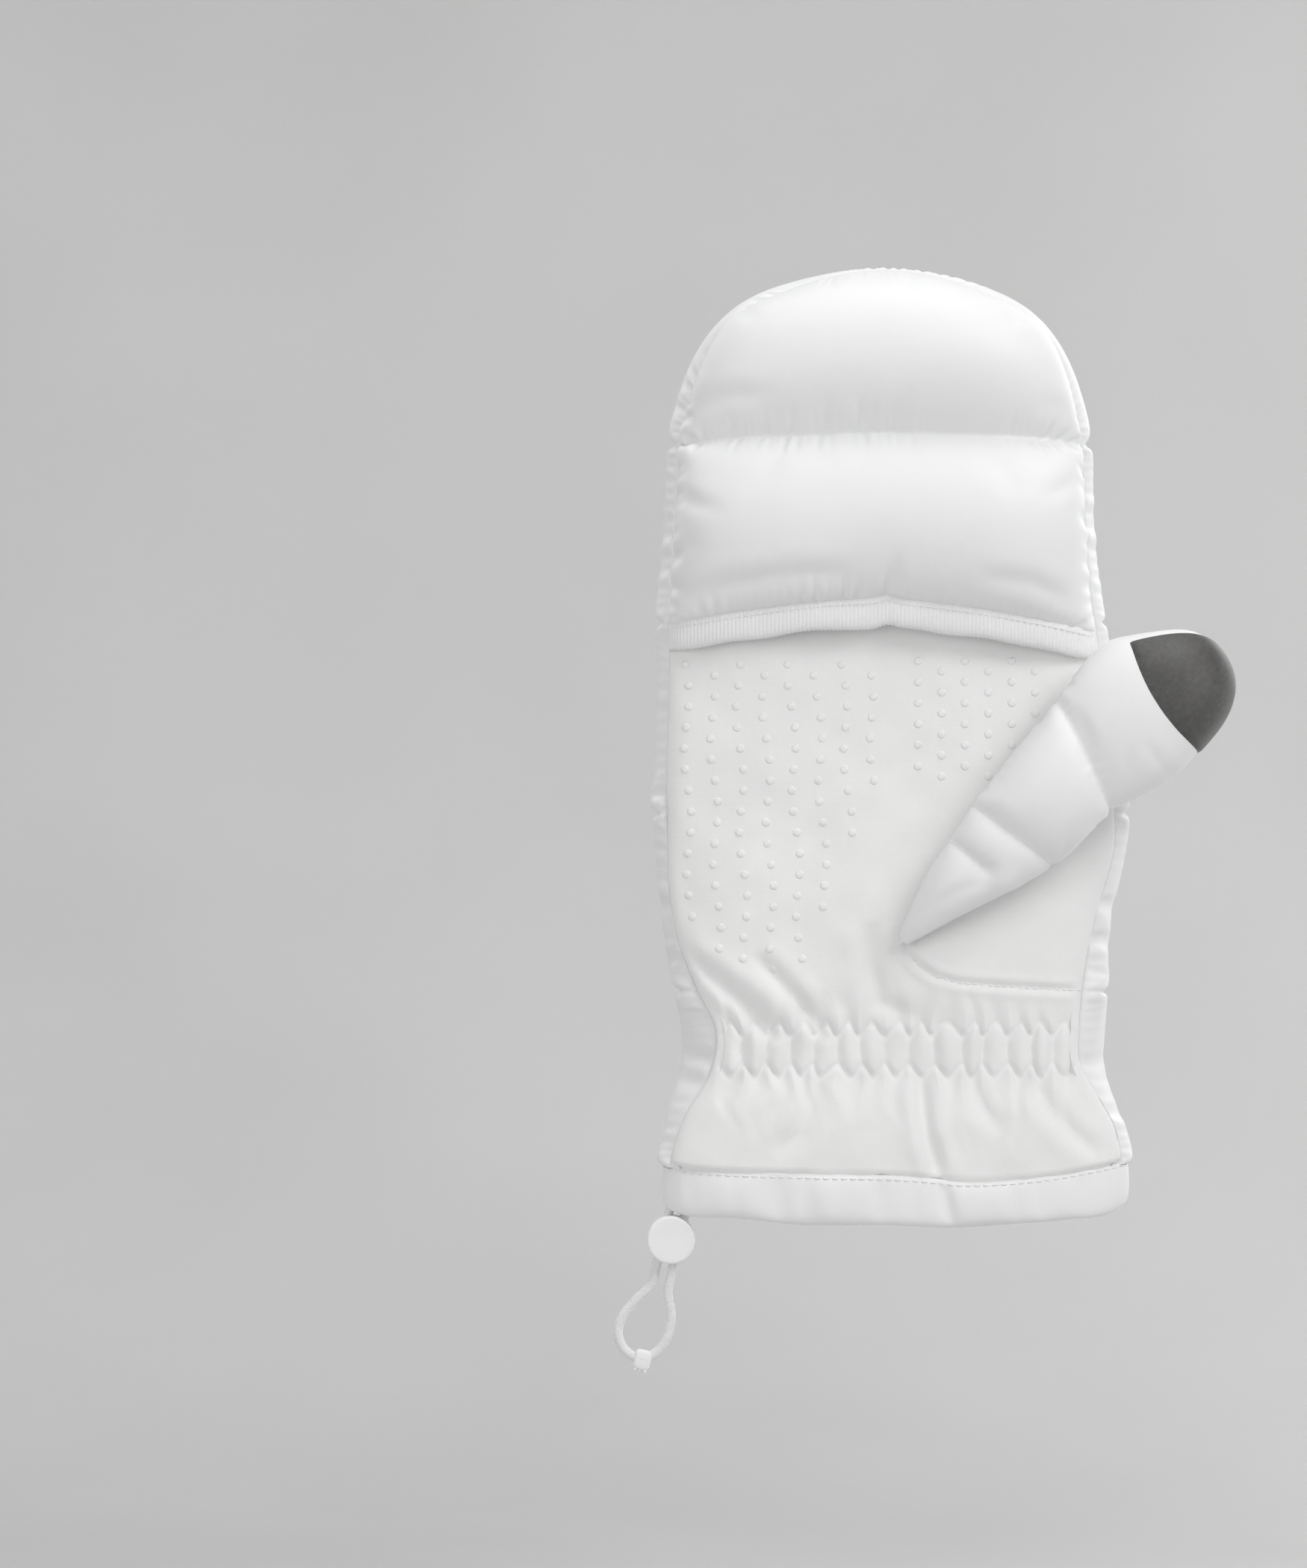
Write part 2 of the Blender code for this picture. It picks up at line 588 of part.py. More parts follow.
def catmull(points, per_span):
    """A smooth line through the points."""
    padded = [points[0]] + list(points) + [points[-1]]
    line = []
    for a, b, c, d in zip(padded, padded[1:], padded[2:], padded[3:]):
        for k in range(per_span):
            t = k / per_span
            line.append(tuple(0.5 * (2 * q + (r - p) * t + (2 * p - 5 * q + 4 * r - s) * t * t
                                     + (3 * q - p - 3 * r + s) * t**3) for p, q, r, s in zip(a, b, c, d)))
    return line + [tuple(points[-1])]


def loop_line():
    down = [along_lock(d, -1) for d in (-9.0, -3.0, 3.0, 9.0, 14.0)]
    up = [along_lock(d, 1) for d in (14.0, 9.0, 3.0, -3.0, -9.0)]
    return [(x, 0.0, z) for x, z in catmull(down + list(LOOP_POINTS) + up, 3)]


def make_cord():
    line = loop_line()
    add_tube("drawcord_loop", line, CORD / 2, "drawcord", 2)
    clip_x, clip_z = -74.0, -40.1
    half_x, half_y, up, low = 2.6, 2.3, 3.0, 3.2
    clip = prism("clip_block", [(clip_x - half_x, clip_z - low), (clip_x + half_x, clip_z - low),
                                (clip_x + half_x, clip_z + up), (clip_x - half_x, clip_z + up)], -half_y, half_y)
    clip.hide_render = False
    clip.name = "cord_end_clip"
    CUTTERS.objects.unlink(clip)
    PART.objects.link(clip)
    clip.display_type = "TEXTURED"
    clip.data.materials.append(material("lock_plastic"))
    middle = len(line) // 2
    cut(clip, add_tube("clip_bore", line[middle - 7:middle + 8], CORD / 2 + GAP, None, 2))


def lock_outline(radius, steps=32):
    return [(LOCK_CENTRE[0] + radius * math.cos(2 * math.pi * (k + 0.5) / steps),
             LOCK_CENTRE[1] + radius * math.sin(2 * math.pi * (k + 0.5) / steps)) for k in range(steps)]


def turned_part(name, rows, slot, steps=32):
    """A part turned about the lock's axis. rows are (radius, y) from the palm end to the back end."""
    profile = bpy.data.meshes.new(name)
    profile.from_pydata([(radius * MM, 0, y * MM) for radius, y in rows[::-1]], [(k, k + 1) for k in range(len(rows) - 1)], [])
    obj = bpy.data.objects.new(name, profile)
    PART.objects.link(obj)
    screw = obj.modifiers.new("turn", "SCREW")
    screw.steps = screw.render_steps = steps
    screw.use_merge_vertices = True
    screw.merge_threshold = 0.00001
    obj.matrix_world = (Matrix.Translation((LOCK_CENTRE[0] * MM, 0, LOCK_CENTRE[1] * MM))
                        @ Matrix.Rotation(math.radians(-90), 4, "X"))
    bpy.context.view_layer.update()
    apply_modifiers(obj)
    obj.data.transform(obj.matrix_world)
    obj.matrix_world = Matrix.Identity(4)
    solid = bmesh.new()
    solid.from_mesh(obj.data)
    bmesh.ops.remove_doubles(solid, verts=solid.verts, dist=0.000005)
    bmesh.ops.recalc_face_normals(solid, faces=solid.faces)
    solid.to_mesh(obj.data)
    solid.free()
    obj.data.shade_smooth()
    obj.data.set_sharp_from_angle(angle=math.radians(35))
    obj.data.materials.append(material(slot))
    return obj


def make_lock():
    low, high = LOCK_Y
    well = BUTTON_RADIUS + 0.2
    body = turned_part("lock_body", ((0, low), (LOCK_RADIUS - 1.0, low), (LOCK_RADIUS - 0.3, low + 0.3), (LOCK_RADIUS, low + 1.0),
                                     (LOCK_RADIUS, high - 0.8), (LOCK_RADIUS - 0.8, high), (well, high),
                                     (well, low + 1.3), (0, low + 1.3)), "lock_plastic")
    bottom, top = BUTTON_Y
    button = turned_part("lock_button", ((0, bottom), (BUTTON_RADIUS, bottom), (BUTTON_RADIUS, top - 0.7),
                                         (BUTTON_RADIUS - 0.7, top), (0, top)), "lock_plastic")
    reach = CORD / 2 + 0.35
    for name, obj, y_from, y_to in (("body_way", body, -reach, reach),
                                    ("button_way", button, -reach, reach + BUTTON_TRAVEL)):
        corners = [along_lock(d, s * (STRAND + reach) / STRAND) for d, s in ((-9, -1), (-9, 1), (9, 1), (9, -1))]
        cut(obj, prism(name, corners, y_from, y_to))
    floor, ceiling = low + 1.3 + 0.25, bottom - 0.25
    turns, radius, wire = 1.5, 3.4, 0.35
    line = []
    for k in range(37):
        angle = 2 * math.pi * turns * k / 36
        y = floor + wire + (ceiling - floor - 2 * wire) * k / 36
        line.append((LOCK_CENTRE[0] + radius * math.cos(angle), y, LOCK_CENTRE[1] + radius * math.sin(angle)))
    add_tube("lock_spring", line, wire, "spring_steel", 2)


clear_scene()
PART = new_collection("ski_mitten")
CUTTERS = new_collection("cutters")
make_back()
make_palm()
make_cap()
make_thumb()
make_hem()
make_cord()
make_lock()
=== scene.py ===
"""Looks of the ski mitten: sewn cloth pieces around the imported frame.

Millimetres are used for every length here and turned into metres when a mesh is made. -Y is out of the palm.
"""

import math

import bpy
import numpy as np
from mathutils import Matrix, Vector


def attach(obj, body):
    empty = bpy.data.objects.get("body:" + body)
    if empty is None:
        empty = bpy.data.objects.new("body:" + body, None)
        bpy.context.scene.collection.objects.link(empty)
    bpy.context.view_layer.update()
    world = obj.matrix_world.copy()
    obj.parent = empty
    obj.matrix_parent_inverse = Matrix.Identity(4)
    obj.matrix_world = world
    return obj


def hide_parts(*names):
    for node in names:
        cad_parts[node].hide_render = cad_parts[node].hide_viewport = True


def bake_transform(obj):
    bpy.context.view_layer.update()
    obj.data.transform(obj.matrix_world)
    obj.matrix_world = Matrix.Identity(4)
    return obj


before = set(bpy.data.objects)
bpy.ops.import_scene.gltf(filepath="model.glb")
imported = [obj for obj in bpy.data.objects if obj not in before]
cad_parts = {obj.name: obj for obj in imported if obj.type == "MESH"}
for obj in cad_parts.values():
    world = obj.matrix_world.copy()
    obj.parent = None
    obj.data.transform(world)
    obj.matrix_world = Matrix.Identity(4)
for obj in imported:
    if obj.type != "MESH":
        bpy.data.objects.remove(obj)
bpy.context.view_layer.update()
MM = 0.001

# Outline and depth of the mitten, as in the CAD
LEFT_EDGE = ((0, -65.5), (5, -67.3), (18, -68.0), (32, -66.0), (45, -61.8), (54, -61.0), (68, -63.0),
             (81, -66.4), (99, -68.8), (120, -69.5), (166, -68.6), (184, -68.4), (201, -67.0), (227, -65.0))
RIGHT_EDGE = ((0, 65.5), (7, 67.4), (18, 68.0), (26, 67.0), (45, 60.5), (57, 60.5), (75, 61.0),
              (90, 63.0), (110, 67.0), (121, 66.8), (145, 64.5), (171, 61.7), (200, 58.7), (227, 57.0))
TIP_Z, DOME_Z, FOLD_Z = 281.0, 227.0, 175.0
DOME_POWER = 1.97
SEAMS_BACK = (16.0, 68.0, 120.0, FOLD_Z, DOME_Z)
WRIST = (45.0, 57.0)

# The strip of the back that shows beside the palm, the palm and the cap's palm side: widths and depths by height
LEFT_STRIP = ((14, 1.5), (30, 4.0), (45, 7.5), (57, 8.0), (68, 4.8), (81, 3.0), (120, 2.4), (185, 2.0), (215, 1.4),
              (281, 1.2))
RIGHT_STRIP = ((14, 2.0), (30, 3.0), (42, 5.0), (47, 6.5), (57, 7.0), (70, 6.0), (90, 4.5), (115, 3.0),
               (170, 2.4), (200, 1.8), (240, 1.3), (281, 1.2))
STRIP_Y = ((14, 5.0), (45, 6.0), (57, 6.0), (70, 5.0), (120, 4.5), (166, 4.5), (182, 5.5), (225, 5.0), (281, 4.0))
PALM_DEPTH = ((14, 12.8), (30, 13.0), (45, 11.6), (57, 11.6), (70, 12.6), (110, 13.2), (160, 12.8), (184, 11.3))
FLAP_DEPTH = ((166, 18.2), (176, 19.0), (200, 25.0), (220, 21.0), (229, 17.5), (238, 20.5), (250, 22.0))

# Heights of the hem's two edges across the mitten, and the arch of the cap's bound edge
HEM_TOP = ((-68, 17.4), (-60, 16.2), (-52, 15.7), (-25, 15.0), (8, 13.9), (18, 12.8), (31, 13.0), (48, 14.8),
           (60, 17.0), (68, 18.4))
HEM_LOW = ((-68, 4.5), (-62, 2.8), (-48, 2.2), (-25, 0.3), (-2, 0.4), (15, -0.4), (32, 0.5), (50, 1.8), (62, 3.2),
           (68, 6.0))
ARCH_PEAK, ARCH_LEFT, ARCH_RIGHT = -6.5, -66.0, 56.0

# How the cloth settles: steps and rounds, how much speed a step keeps, resistance to bending, and the down's pressure
STEPS, ROUNDS, DRAG = (110), 5, 0.9
BEND, BEND_REST = 0.15, 0.95
PRESSURE = 0.06

# The axis that the camera looks along
VIEW_X, VIEW_Z = -70.7, 128.3


def table(points, at):
    """Smooth interpolation through a table, for an array of places."""
    places, values = (np.array(column, float) for column in zip(*points))
    slopes = np.gradient(values, places)
    at = np.clip(np.asarray(at, float), places[0], places[-1])
    i = np.clip(np.searchsorted(places, at) - 1, 0, len(places) - 2)
    step = places[i + 1] - places[i]
    t = (at - places[i]) / step
    return ((2 * t**3 - 3 * t**2 + 1) * values[i] + (t**3 - 2 * t**2 + t) * step * slopes[i]
            + (3 * t**2 - 2 * t**3) * values[i + 1] + (t**3 - t**2) * step * slopes[i + 1])


def half_width(z):
    return (table(RIGHT_EDGE, z) - table(LEFT_EDGE, z)) / 2


def middle_x(z):
    return (table(RIGHT_EDGE, z) + table(LEFT_EDGE, z)) / 2


def step_up(x, low, high):
    """0 below low, 1 above high, smooth between."""
    t = np.clip((x - low) / (high - low), 0, 1)
    return t * t * (3 - 2 * t)


def trim(z, side):
    """How far the sewn edge stays inside the outline, to leave room for the swelling cloth."""
    thumb_side = step_up(side, 0.3, 0.9) * step_up(z, 150, 190) * (1 - step_up(z, 235, 268))
    return 0.3 + 1.3 * step_up(z, 215, 245) + thumb_side


def dome(z):
    share = np.clip((np.asarray(z, float) - DOME_Z) / (TIP_Z - DOME_Z), 0, 1)
    return (1 - share**DOME_POWER) ** (1 / DOME_POWER)


def bell(x, centre, spread):
    return np.exp(-(((x - centre) / spread) ** 2))


def ripple(a, b, wave, seed, count=7):
    """A smooth random field over two coordinates, about -1 to 1, with one typical wavelength."""
    random = np.random.default_rng(seed)
    total = np.zeros(np.broadcast(a, b).shape)
    for _ in range(count):
        angle, size = random.uniform(0, 2 * math.pi), 2 * math.pi / (wave * random.uniform(0.7, 1.5))
        total = total + np.sin(size * (a * math.cos(angle) + b * math.sin(angle)) + random.uniform(0, 2 * math.pi))
    return total / count**0.5


# Grids of cloth: arrays of rows x columns x 3, in millimetres

def lengths(line):
    """Length along a polyline at each of its points."""
    return np.concatenate([[0], np.cumsum(np.linalg.norm(np.diff(line, axis=0), axis=1))])


def resample(line, count):
    """The polyline as count points at even steps."""
    steps = lengths(line)
    even = np.linspace(0, steps[-1], count)
    return np.stack([np.interp(even, steps, line[:, k]) for k in range(line.shape[1])], axis=1)


def normals_of(grid):
    normal = np.cross(np.gradient(grid, axis=1), np.gradient(grid, axis=0))
    return normal / np.maximum(np.linalg.norm(normal, axis=2, keepdims=True), 1e-9)


def pull(grid, free, first, second, rest, stiff, only_push):
    """Moves two sets of points along the lines between them, towards their rest distance."""
    gap = grid[second] - grid[first]
    length = np.maximum(np.linalg.norm(gap, axis=2, keepdims=True), 1e-6)
    wanted = (length - rest[..., None]) / length
    if only_push:
        wanted = np.minimum(wanted, 0)
    share = free[first] + free[second]
    move = gap * wanted * stiff / np.maximum(share, 1e-6)[..., None]
    grid[first] += move * free[first][..., None]
    grid[second] -= move * free[second][..., None]


def links(shape, kind):
    """Index grids of all the pairs of one kind, in groups that touch no point twice."""
    rows, cols = shape
    groups = []
    offsets = {"across": [(0, 1)], "along": [(1, 0)], "shear": [(1, 1), (1, -1)], "bend": [(0, 2), (2, 0)]}[kind]
    for dr, dc in offsets:
        axis = 0 if dr else 1
        span = max(abs(dr), abs(dc))
        size = (rows, cols)[axis]
        for start in range(2 * span if span > 1 else 2):
            base = np.arange(start, size - span, 2 * span)
            if axis == 0:
                low = np.arange(max(-dc, 0), cols - max(dc, 0))
                r, c = np.meshgrid(base, low, indexing="ij")
            else:
                low = np.arange(rows)
                r, c = np.meshgrid(low, base, indexing="ij")
            if r.size:
                groups.append(((r, c), (r + dr, c + dc)))
    return groups


def settle(grid, pinned, slack_across, slack_along, pressure, seed):
    """Lets a cloth grid swell and wrinkle between its pinned points, by position-based dynamics.

    slack_across and slack_along are the cloth's extra length over the grid it starts from, as arrays or numbers.
    """
    free = np.where(pinned, 0.0, 1.0)
    scale = {"across": 1 + np.broadcast_to(slack_across, pinned.shape),
             "along": 1 + np.broadcast_to(slack_along, pinned.shape)}
    scale["shear"] = (scale["across"] + scale["along"]) / 2
    plan = []
    for kind, stiff in (("across", 1.0), ("along", 1.0), ("shear", 0.35), ("bend", BEND)):
        bending = kind == "bend"
        for first, second in links(pinned.shape, kind):
            rest = np.linalg.norm(grid[second] - grid[first], axis=2)
            way = ("across" if first[0][0, 0] == second[0][0, 0] else "along") if bending else kind
            plan.append((first, second, rest * scale[way][first] * (BEND_REST if bending else 1.0), stiff, bending))
    random = np.random.default_rng(seed)
    start = random.normal(0, 0.1, pinned.shape) + 0.25 * ripple(grid[..., 0], grid[..., 2], 9, seed + 50)
    now = grid + normals_of(grid) * (start * free)[..., None]
    before = now.copy()
    for _ in range(STEPS):
        speed = (now - before) * DRAG
        before = now.copy()
        now = now + (speed + normals_of(now) * pressure) * free[..., None]
        for _ in range(ROUNDS):
            for first, second, rest, stiff, bending in plan:
                pull(now, free, first, second, rest, stiff, only_push=bending)
    return now


# Meshes

def finish_mesh(name, mesh, shader, subdivide=0, solid=0.0):
    obj = bpy.data.objects.new(name, mesh)
    bpy.context.scene.collection.objects.link(obj)
    if solid:
        wall = obj.modifiers.new("wall", "SOLIDIFY")
        wall.thickness = solid * MM
        wall.offset = -1
    if subdivide:
        level = obj.modifiers.new("smooth", "SUBSURF")
        level.levels = level.render_levels = subdivide
        level.uv_smooth = "PRESERVE_BOUNDARIES"
    if solid or subdivide:
        graph = bpy.context.evaluated_depsgraph_get()
        made = bpy.data.meshes.new_from_object(obj.evaluated_get(graph))
        obj.modifiers.clear()
        obj.data = made
    obj.data.shade_smooth()
    obj.data.materials.clear()
    obj.data.materials.append(SHADERS[shader])
    return obj


def cloth(name, grid, shader, closed=False, subdivide=1, solid=0.0, flip=False):
    """A mesh from a grid. Its UVs are centimetres along the cloth, so that the weave follows it."""
    rows, cols = grid.shape[:2]
    points = grid.reshape(-1, 3) * MM
    faces, uvs = [], []
    across = np.concatenate([[0], np.cumsum(np.linalg.norm(np.diff(grid, axis=1), axis=2).mean(axis=0))]) / 10
    along = np.concatenate([[0], np.cumsum(np.linalg.norm(np.diff(grid, axis=0), axis=2).mean(axis=1))]) / 10
    closing = across[-1] + np.linalg.norm(grid[:, 0] - grid[:, -1], axis=1).mean() / 10
    for r in range(rows - 1):
        for c in range(cols if closed else cols - 1):
            d = (c + 1) % cols
            face = [r * cols + c, r * cols + d, (r + 1) * cols + d, (r + 1) * cols + c]
            right = across[d] if d else closing
            corner = [(across[c], along[r]), (right, along[r]), (right, along[r + 1]), (across[c], along[r + 1])]
            faces.append(face[::-1] if flip else face)
            uvs.append(corner[::-1] if flip else corner)
    mesh = bpy.data.meshes.new(name)
    mesh.from_pydata(points.tolist(), [], faces)
    layer = mesh.uv_layers.new(name="cloth")
    layer.data.foreach_set("uv", np.array(uvs, np.float32).reshape(-1))
    return finish_mesh(name, mesh, shader, subdivide, solid)


def join_parts(name, parts, shader):
    """One mesh from many (points, faces) parts in millimetres."""
    points, faces = [], []
    for some, loops in parts:
        start = len(points)
        points += [tuple(p) for p in some]
        faces += [tuple(start + i for i in loop) for loop in loops]
    mesh = bpy.data.meshes.new(name)
    mesh.from_pydata((np.array(points) * MM).tolist(), [], faces)
    return finish_mesh(name, mesh, shader)


def ring_faces(rings, sides):
    """Quads between rings of points that are numbered round each ring in turn."""
    return [(r * sides + k, r * sides + (k + 1) % sides, (r + 1) * sides + (k + 1) % sides, (r + 1) * sides + k)
            for r in range(rings - 1) for k in range(sides)]


def tube_part(line, radius, sides):
    """Points and faces of a closed tube along a line. radius may be a list."""
    line = np.array(line, float)
    radii = np.broadcast_to(radius, len(line))
    ahead = np.gradient(line, axis=0)
    ahead /= np.linalg.norm(ahead, axis=1, keepdims=True)
    up = np.cross(ahead[0], (0, 1, 0.03))
    points = []
    for place, way, size in zip(line, ahead, radii):
        up = up - way * np.dot(up, way)
        up /= np.linalg.norm(up)
        side = np.cross(way, up)
        for k in range(sides):
            angle = 2 * math.pi * k / sides
            points.append(place + size * (up * math.cos(angle) + side * math.sin(angle)))
    ends = [tuple(range(sides))[::-1], tuple(range((len(line) - 1) * sides, len(line) * sides))]
    return points, ring_faces(len(line), sides) + ends


def stitch_parts(line, pitch, out, share=0.72, radius=0.2):
    """Short threads along a line of points; out is the direction that they stand up in."""
    line = np.array(line, float)
    steps = lengths(line)
    outs = np.broadcast_to(np.array(out, float), line.shape)
    parts = []
    for k in range(int(steps[-1] / pitch)):
        places = (k + np.linspace(0.5 - share / 2, 0.5 + share / 2, 5)) * pitch
        points = np.stack([np.interp(places, steps, line[:, a]) for a in range(3)], axis=1)
        lift = np.stack([np.interp(places, steps, outs[:, a]) for a in range(3)], axis=1)
        points = points + lift * (np.array([-0.5, 0.55, 0.8, 0.55, -0.5]) * radius)[:, None]
        parts.append(tube_part(points, [radius * s for s in (0.55, 1, 1, 1, 0.55)], 6))
    return parts


def sew(name, parts):
    return join_parts(name, parts, "sewing_thread")


# Materials

SHADERS = {}
SUBSURFACE = (0.002, 0.002, 0.002)


def new_shader(name, colour, roughness, **sockets):
    made = bpy.data.materials.new(name)
    made.use_nodes = True
    shader = made.node_tree.nodes["Principled BSDF"]
    shader.inputs["Base Color"].default_value = (*colour, 1)
    shader.inputs["Roughness"].default_value = roughness
    for socket, value in sockets.items():
        shader.inputs[socket.replace("_", " ")].default_value = value
    SHADERS[name] = made
    return made.node_tree, shader


def node(tree, kind, **values):
    made = tree.nodes.new(kind)
    for key, value in values.items():
        if key in made.inputs:
            made.inputs[key].default_value = value
        else:
            setattr(made, key, value)
    return made


def math_node(tree, operation, first, second=None):
    made = tree.nodes.new("ShaderNodeMath")
    made.operation = operation
    for socket, value in zip(made.inputs, (first, second)):
        if value is None:
            continue
        if isinstance(value, (int, float)):
            socket.default_value = value
        else:
            tree.links.new(value, socket)
    return made.outputs[0]


def place_uv(tree, scale, angle=0.0):
    source = node(tree, "ShaderNodeUVMap", uv_map="cloth")
    mapping = node(tree, "ShaderNodeMapping")
    mapping.inputs["Scale"].default_value = scale
    mapping.inputs["Rotation"].default_value = (0, 0, angle)
    tree.links.new(source.outputs[0], mapping.inputs[0])
    return mapping.outputs[0]


def place_object(tree):
    return node(tree, "ShaderNodeTexCoord").outputs["Object"]


def weave(tree, per_cm, angle=0.0):
    """Height of a plain weave: warp and weft threads that pass over each other."""
    where = place_uv(tree, (per_cm, per_cm, 1), angle)
    split = node(tree, "ShaderNodeSeparateXYZ")
    tree.links.new(where, split.inputs[0])
    u, v = split.outputs[0], split.outputs[1]
    thread_u = math_node(tree, "SINE", math_node(tree, "MULTIPLY", u, 2 * math.pi))
    thread_v = math_node(tree, "SINE", math_node(tree, "MULTIPLY", v, 2 * math.pi))
    return math_node(tree, "MULTIPLY", thread_u, thread_v)


def noise(tree, scale, detail=4.0, rough=0.55):
    made = node(tree, "ShaderNodeTexNoise")
    made.inputs["Scale"].default_value = scale
    made.inputs["Detail"].default_value = detail
    made.inputs["Roughness"].default_value = rough
    tree.links.new(place_object(tree), made.inputs["Vector"])
    return made.outputs["Fac"]


def mixed_colour(tree, shader, factor, first, second, low=0.3, high=0.7):
    ramp = node(tree, "ShaderNodeValToRGB")
    ramp.color_ramp.elements[0].position = low
    ramp.color_ramp.elements[1].position = high
    ramp.color_ramp.elements[0].color = (*first, 1)
    ramp.color_ramp.elements[1].color = (*second, 1)
    tree.links.new(factor, ramp.inputs[0])
    tree.links.new(ramp.outputs[0], shader.inputs["Base Color"])


def varied_roughness(tree, shader, factor, low, high):
    spread = node(tree, "ShaderNodeMapRange")
    spread.inputs["To Min"].default_value = low
    spread.inputs["To Max"].default_value = high
    tree.links.new(factor, spread.inputs[0])
    tree.links.new(spread.outputs[0], shader.inputs["Roughness"])


def bumps(tree, shader, *layers):
    """Chained bumps. A layer is (height socket, strength, distance in millimetres)."""
    last = None
    for height, strength, distance in layers:
        bump = node(tree, "ShaderNodeBump")
        bump.inputs["Strength"].default_value = strength
        bump.inputs["Distance"].default_value = distance * MM
        tree.links.new(height, bump.inputs["Height"])
        if last:
            tree.links.new(last, bump.inputs["Normal"])
        last = bump.outputs[0]
    tree.links.new(last, shader.inputs["Normal"])


def make_shaders():
    tree, shader = new_shader("woven_shell", (0.86, 0.86, 0.86), 0.5, Sheen_Weight=0.12, Sheen_Roughness=0.4,
                              Specular_IOR_Level=0.4)
    soft = noise(tree, 26.0)
    mixed_colour(tree, shader, soft, (0.85, 0.852, 0.852), (0.875, 0.876, 0.876))
    varied_roughness(tree, shader, soft, 0.42, 0.56)
    bumps(tree, shader, (weave(tree, 26.0), 0.25, 0.03), (noise(tree, 420.0, 3.0), 0.18, 0.12))

    tree, shader = new_shader("palm_softshell", (0.88, 0.88, 0.875), 0.78, Sheen_Weight=0.25, Sheen_Roughness=0.6)
    soft = noise(tree, 18.0)
    mixed_colour(tree, shader, soft, (0.855, 0.853, 0.85), (0.885, 0.884, 0.88))
    bumps(tree, shader, (weave(tree, 18.0, 0.785), 0.3, 0.05), (noise(tree, 300.0, 3.0), 0.15, 0.15))

    tree, shader = new_shader("grip_silicone", (0.86, 0.86, 0.855), 0.38, Specular_IOR_Level=0.5,
                              Subsurface_Weight=0.15, Subsurface_Radius=SUBSURFACE)
    bumps(tree, shader, (noise(tree, 900.0, 2.0), 0.1, 0.05))

    tree, shader = new_shader("knit_binding", (0.87, 0.87, 0.868), 0.7, Sheen_Weight=0.2, Sheen_Roughness=0.5)
    soft = noise(tree, 60.0)
    mixed_colour(tree, shader, soft, (0.85, 0.85, 0.85), (0.885, 0.885, 0.885))
    bumps(tree, shader, (weave(tree, 14.0), 0.4, 0.08))

    tree, shader = new_shader("ribbed_leather", (0.075, 0.073, 0.071), 0.42, Specular_IOR_Level=0.55)
    split = node(tree, "ShaderNodeSeparateXYZ")
    tree.links.new(place_object(tree), split.inputs[0])
    lean = math.radians(35)
    sideways = math_node(tree, "SUBTRACT", math_node(tree, "MULTIPLY", split.outputs[2], math.cos(lean)),
                         math_node(tree, "MULTIPLY", split.outputs[0], math.sin(lean)))
    rib = math_node(tree, "SINE", math_node(tree, "MULTIPLY", sideways, 2 * math.pi * 1700))
    grain = noise(tree, 700.0, 5.0)
    mixed_colour(tree, shader, grain, (0.058, 0.056, 0.055), (0.092, 0.089, 0.086))
    varied_roughness(tree, shader, grain, 0.36, 0.52)
    bumps(tree, shader, (rib, 0.5, 0.08), (grain, 0.35, 0.1))

    tree, shader = new_shader("brushed_fleece", (0.8, 0.8, 0.8), 0.95, Sheen_Weight=0.5, Sheen_Roughness=0.7)
    nap = noise(tree, 500.0, 6.0, 0.7)
    mixed_colour(tree, shader, nap, (0.7, 0.7, 0.705), (0.82, 0.82, 0.82))
    bumps(tree, shader, (nap, 0.6, 0.5))

    tree, shader = new_shader("braided_cord", (0.86, 0.86, 0.86), 0.6, Sheen_Weight=0.15)
    bumps(tree, shader, (weave(tree, 13.0, 0.785), 0.6, 0.15))
    soft = noise(tree, 300.0)
    mixed_colour(tree, shader, soft, (0.83, 0.83, 0.83), (0.88, 0.88, 0.88))

    tree, shader = new_shader("moulded_plastic", (0.87, 0.87, 0.868), 0.34, Specular_IOR_Level=0.5,
                              Subsurface_Weight=0.1, Subsurface_Radius=SUBSURFACE)
    soft = noise(tree, 900.0, 2.0)
    varied_roughness(tree, shader, soft, 0.3, 0.42)
    bumps(tree, shader, (soft, 0.12, 0.03))

    tree, shader = new_shader("sewing_thread", (0.88, 0.88, 0.88), 0.55, Sheen_Weight=0.1)
    bumps(tree, shader, (noise(tree, 2500.0, 2.0), 0.3, 0.05))

    tree, shader = new_shader("spring_wire", (0.6, 0.6, 0.62), 0.3, Metallic=1.0)
    bumps(tree, shader, (noise(tree, 2000.0, 2.0), 0.1, 0.02))


# The quilted back, from the hem over the fingertips, wrapped round both side edges

def section_table():
    """Half of the back's cross section by arc length: share of the half width, and share of the depth."""
    t = np.linspace(0, math.pi / 2, 400)
    share, depth = np.sin(t) ** 0.8, np.cos(t) ** 0.8
    steps = np.concatenate([[0], np.cumsum(np.hypot(np.diff(share * 65), np.diff(depth * 20)))])
    return steps / steps[-1], share, depth


SECTION = section_table()
REACH = 1.10


def back_place(u, z):
    """Share of the outline's reach, and Y, for places u from -1 to 1 round the back.

    Beyond 1 / REACH the cloth turns on to the palm side, as the strip.
    """
    away = np.abs(u) * REACH
    share, deep = np.interp(away, SECTION[0], SECTION[1]), np.interp(away, SECTION[0], SECTION[2])
    turn = np.clip((away - 1) / (REACH - 1), 0, 1) * math.pi / 2
    wide = half_width(np.minimum(z, DOME_Z))
    strip = np.where(u < 0, table(LEFT_STRIP, z), table(RIGHT_STRIP, z)) / wide
    y = np.where(away <= 1, np.vectorize(back_base_depth)(z) * deep, -table(STRIP_Y, z) * np.sin(turn))
    return (1 - trim(z, u) / wide) * np.where(away <= 1, share, 1 - strip * (1 - np.cos(turn))), y


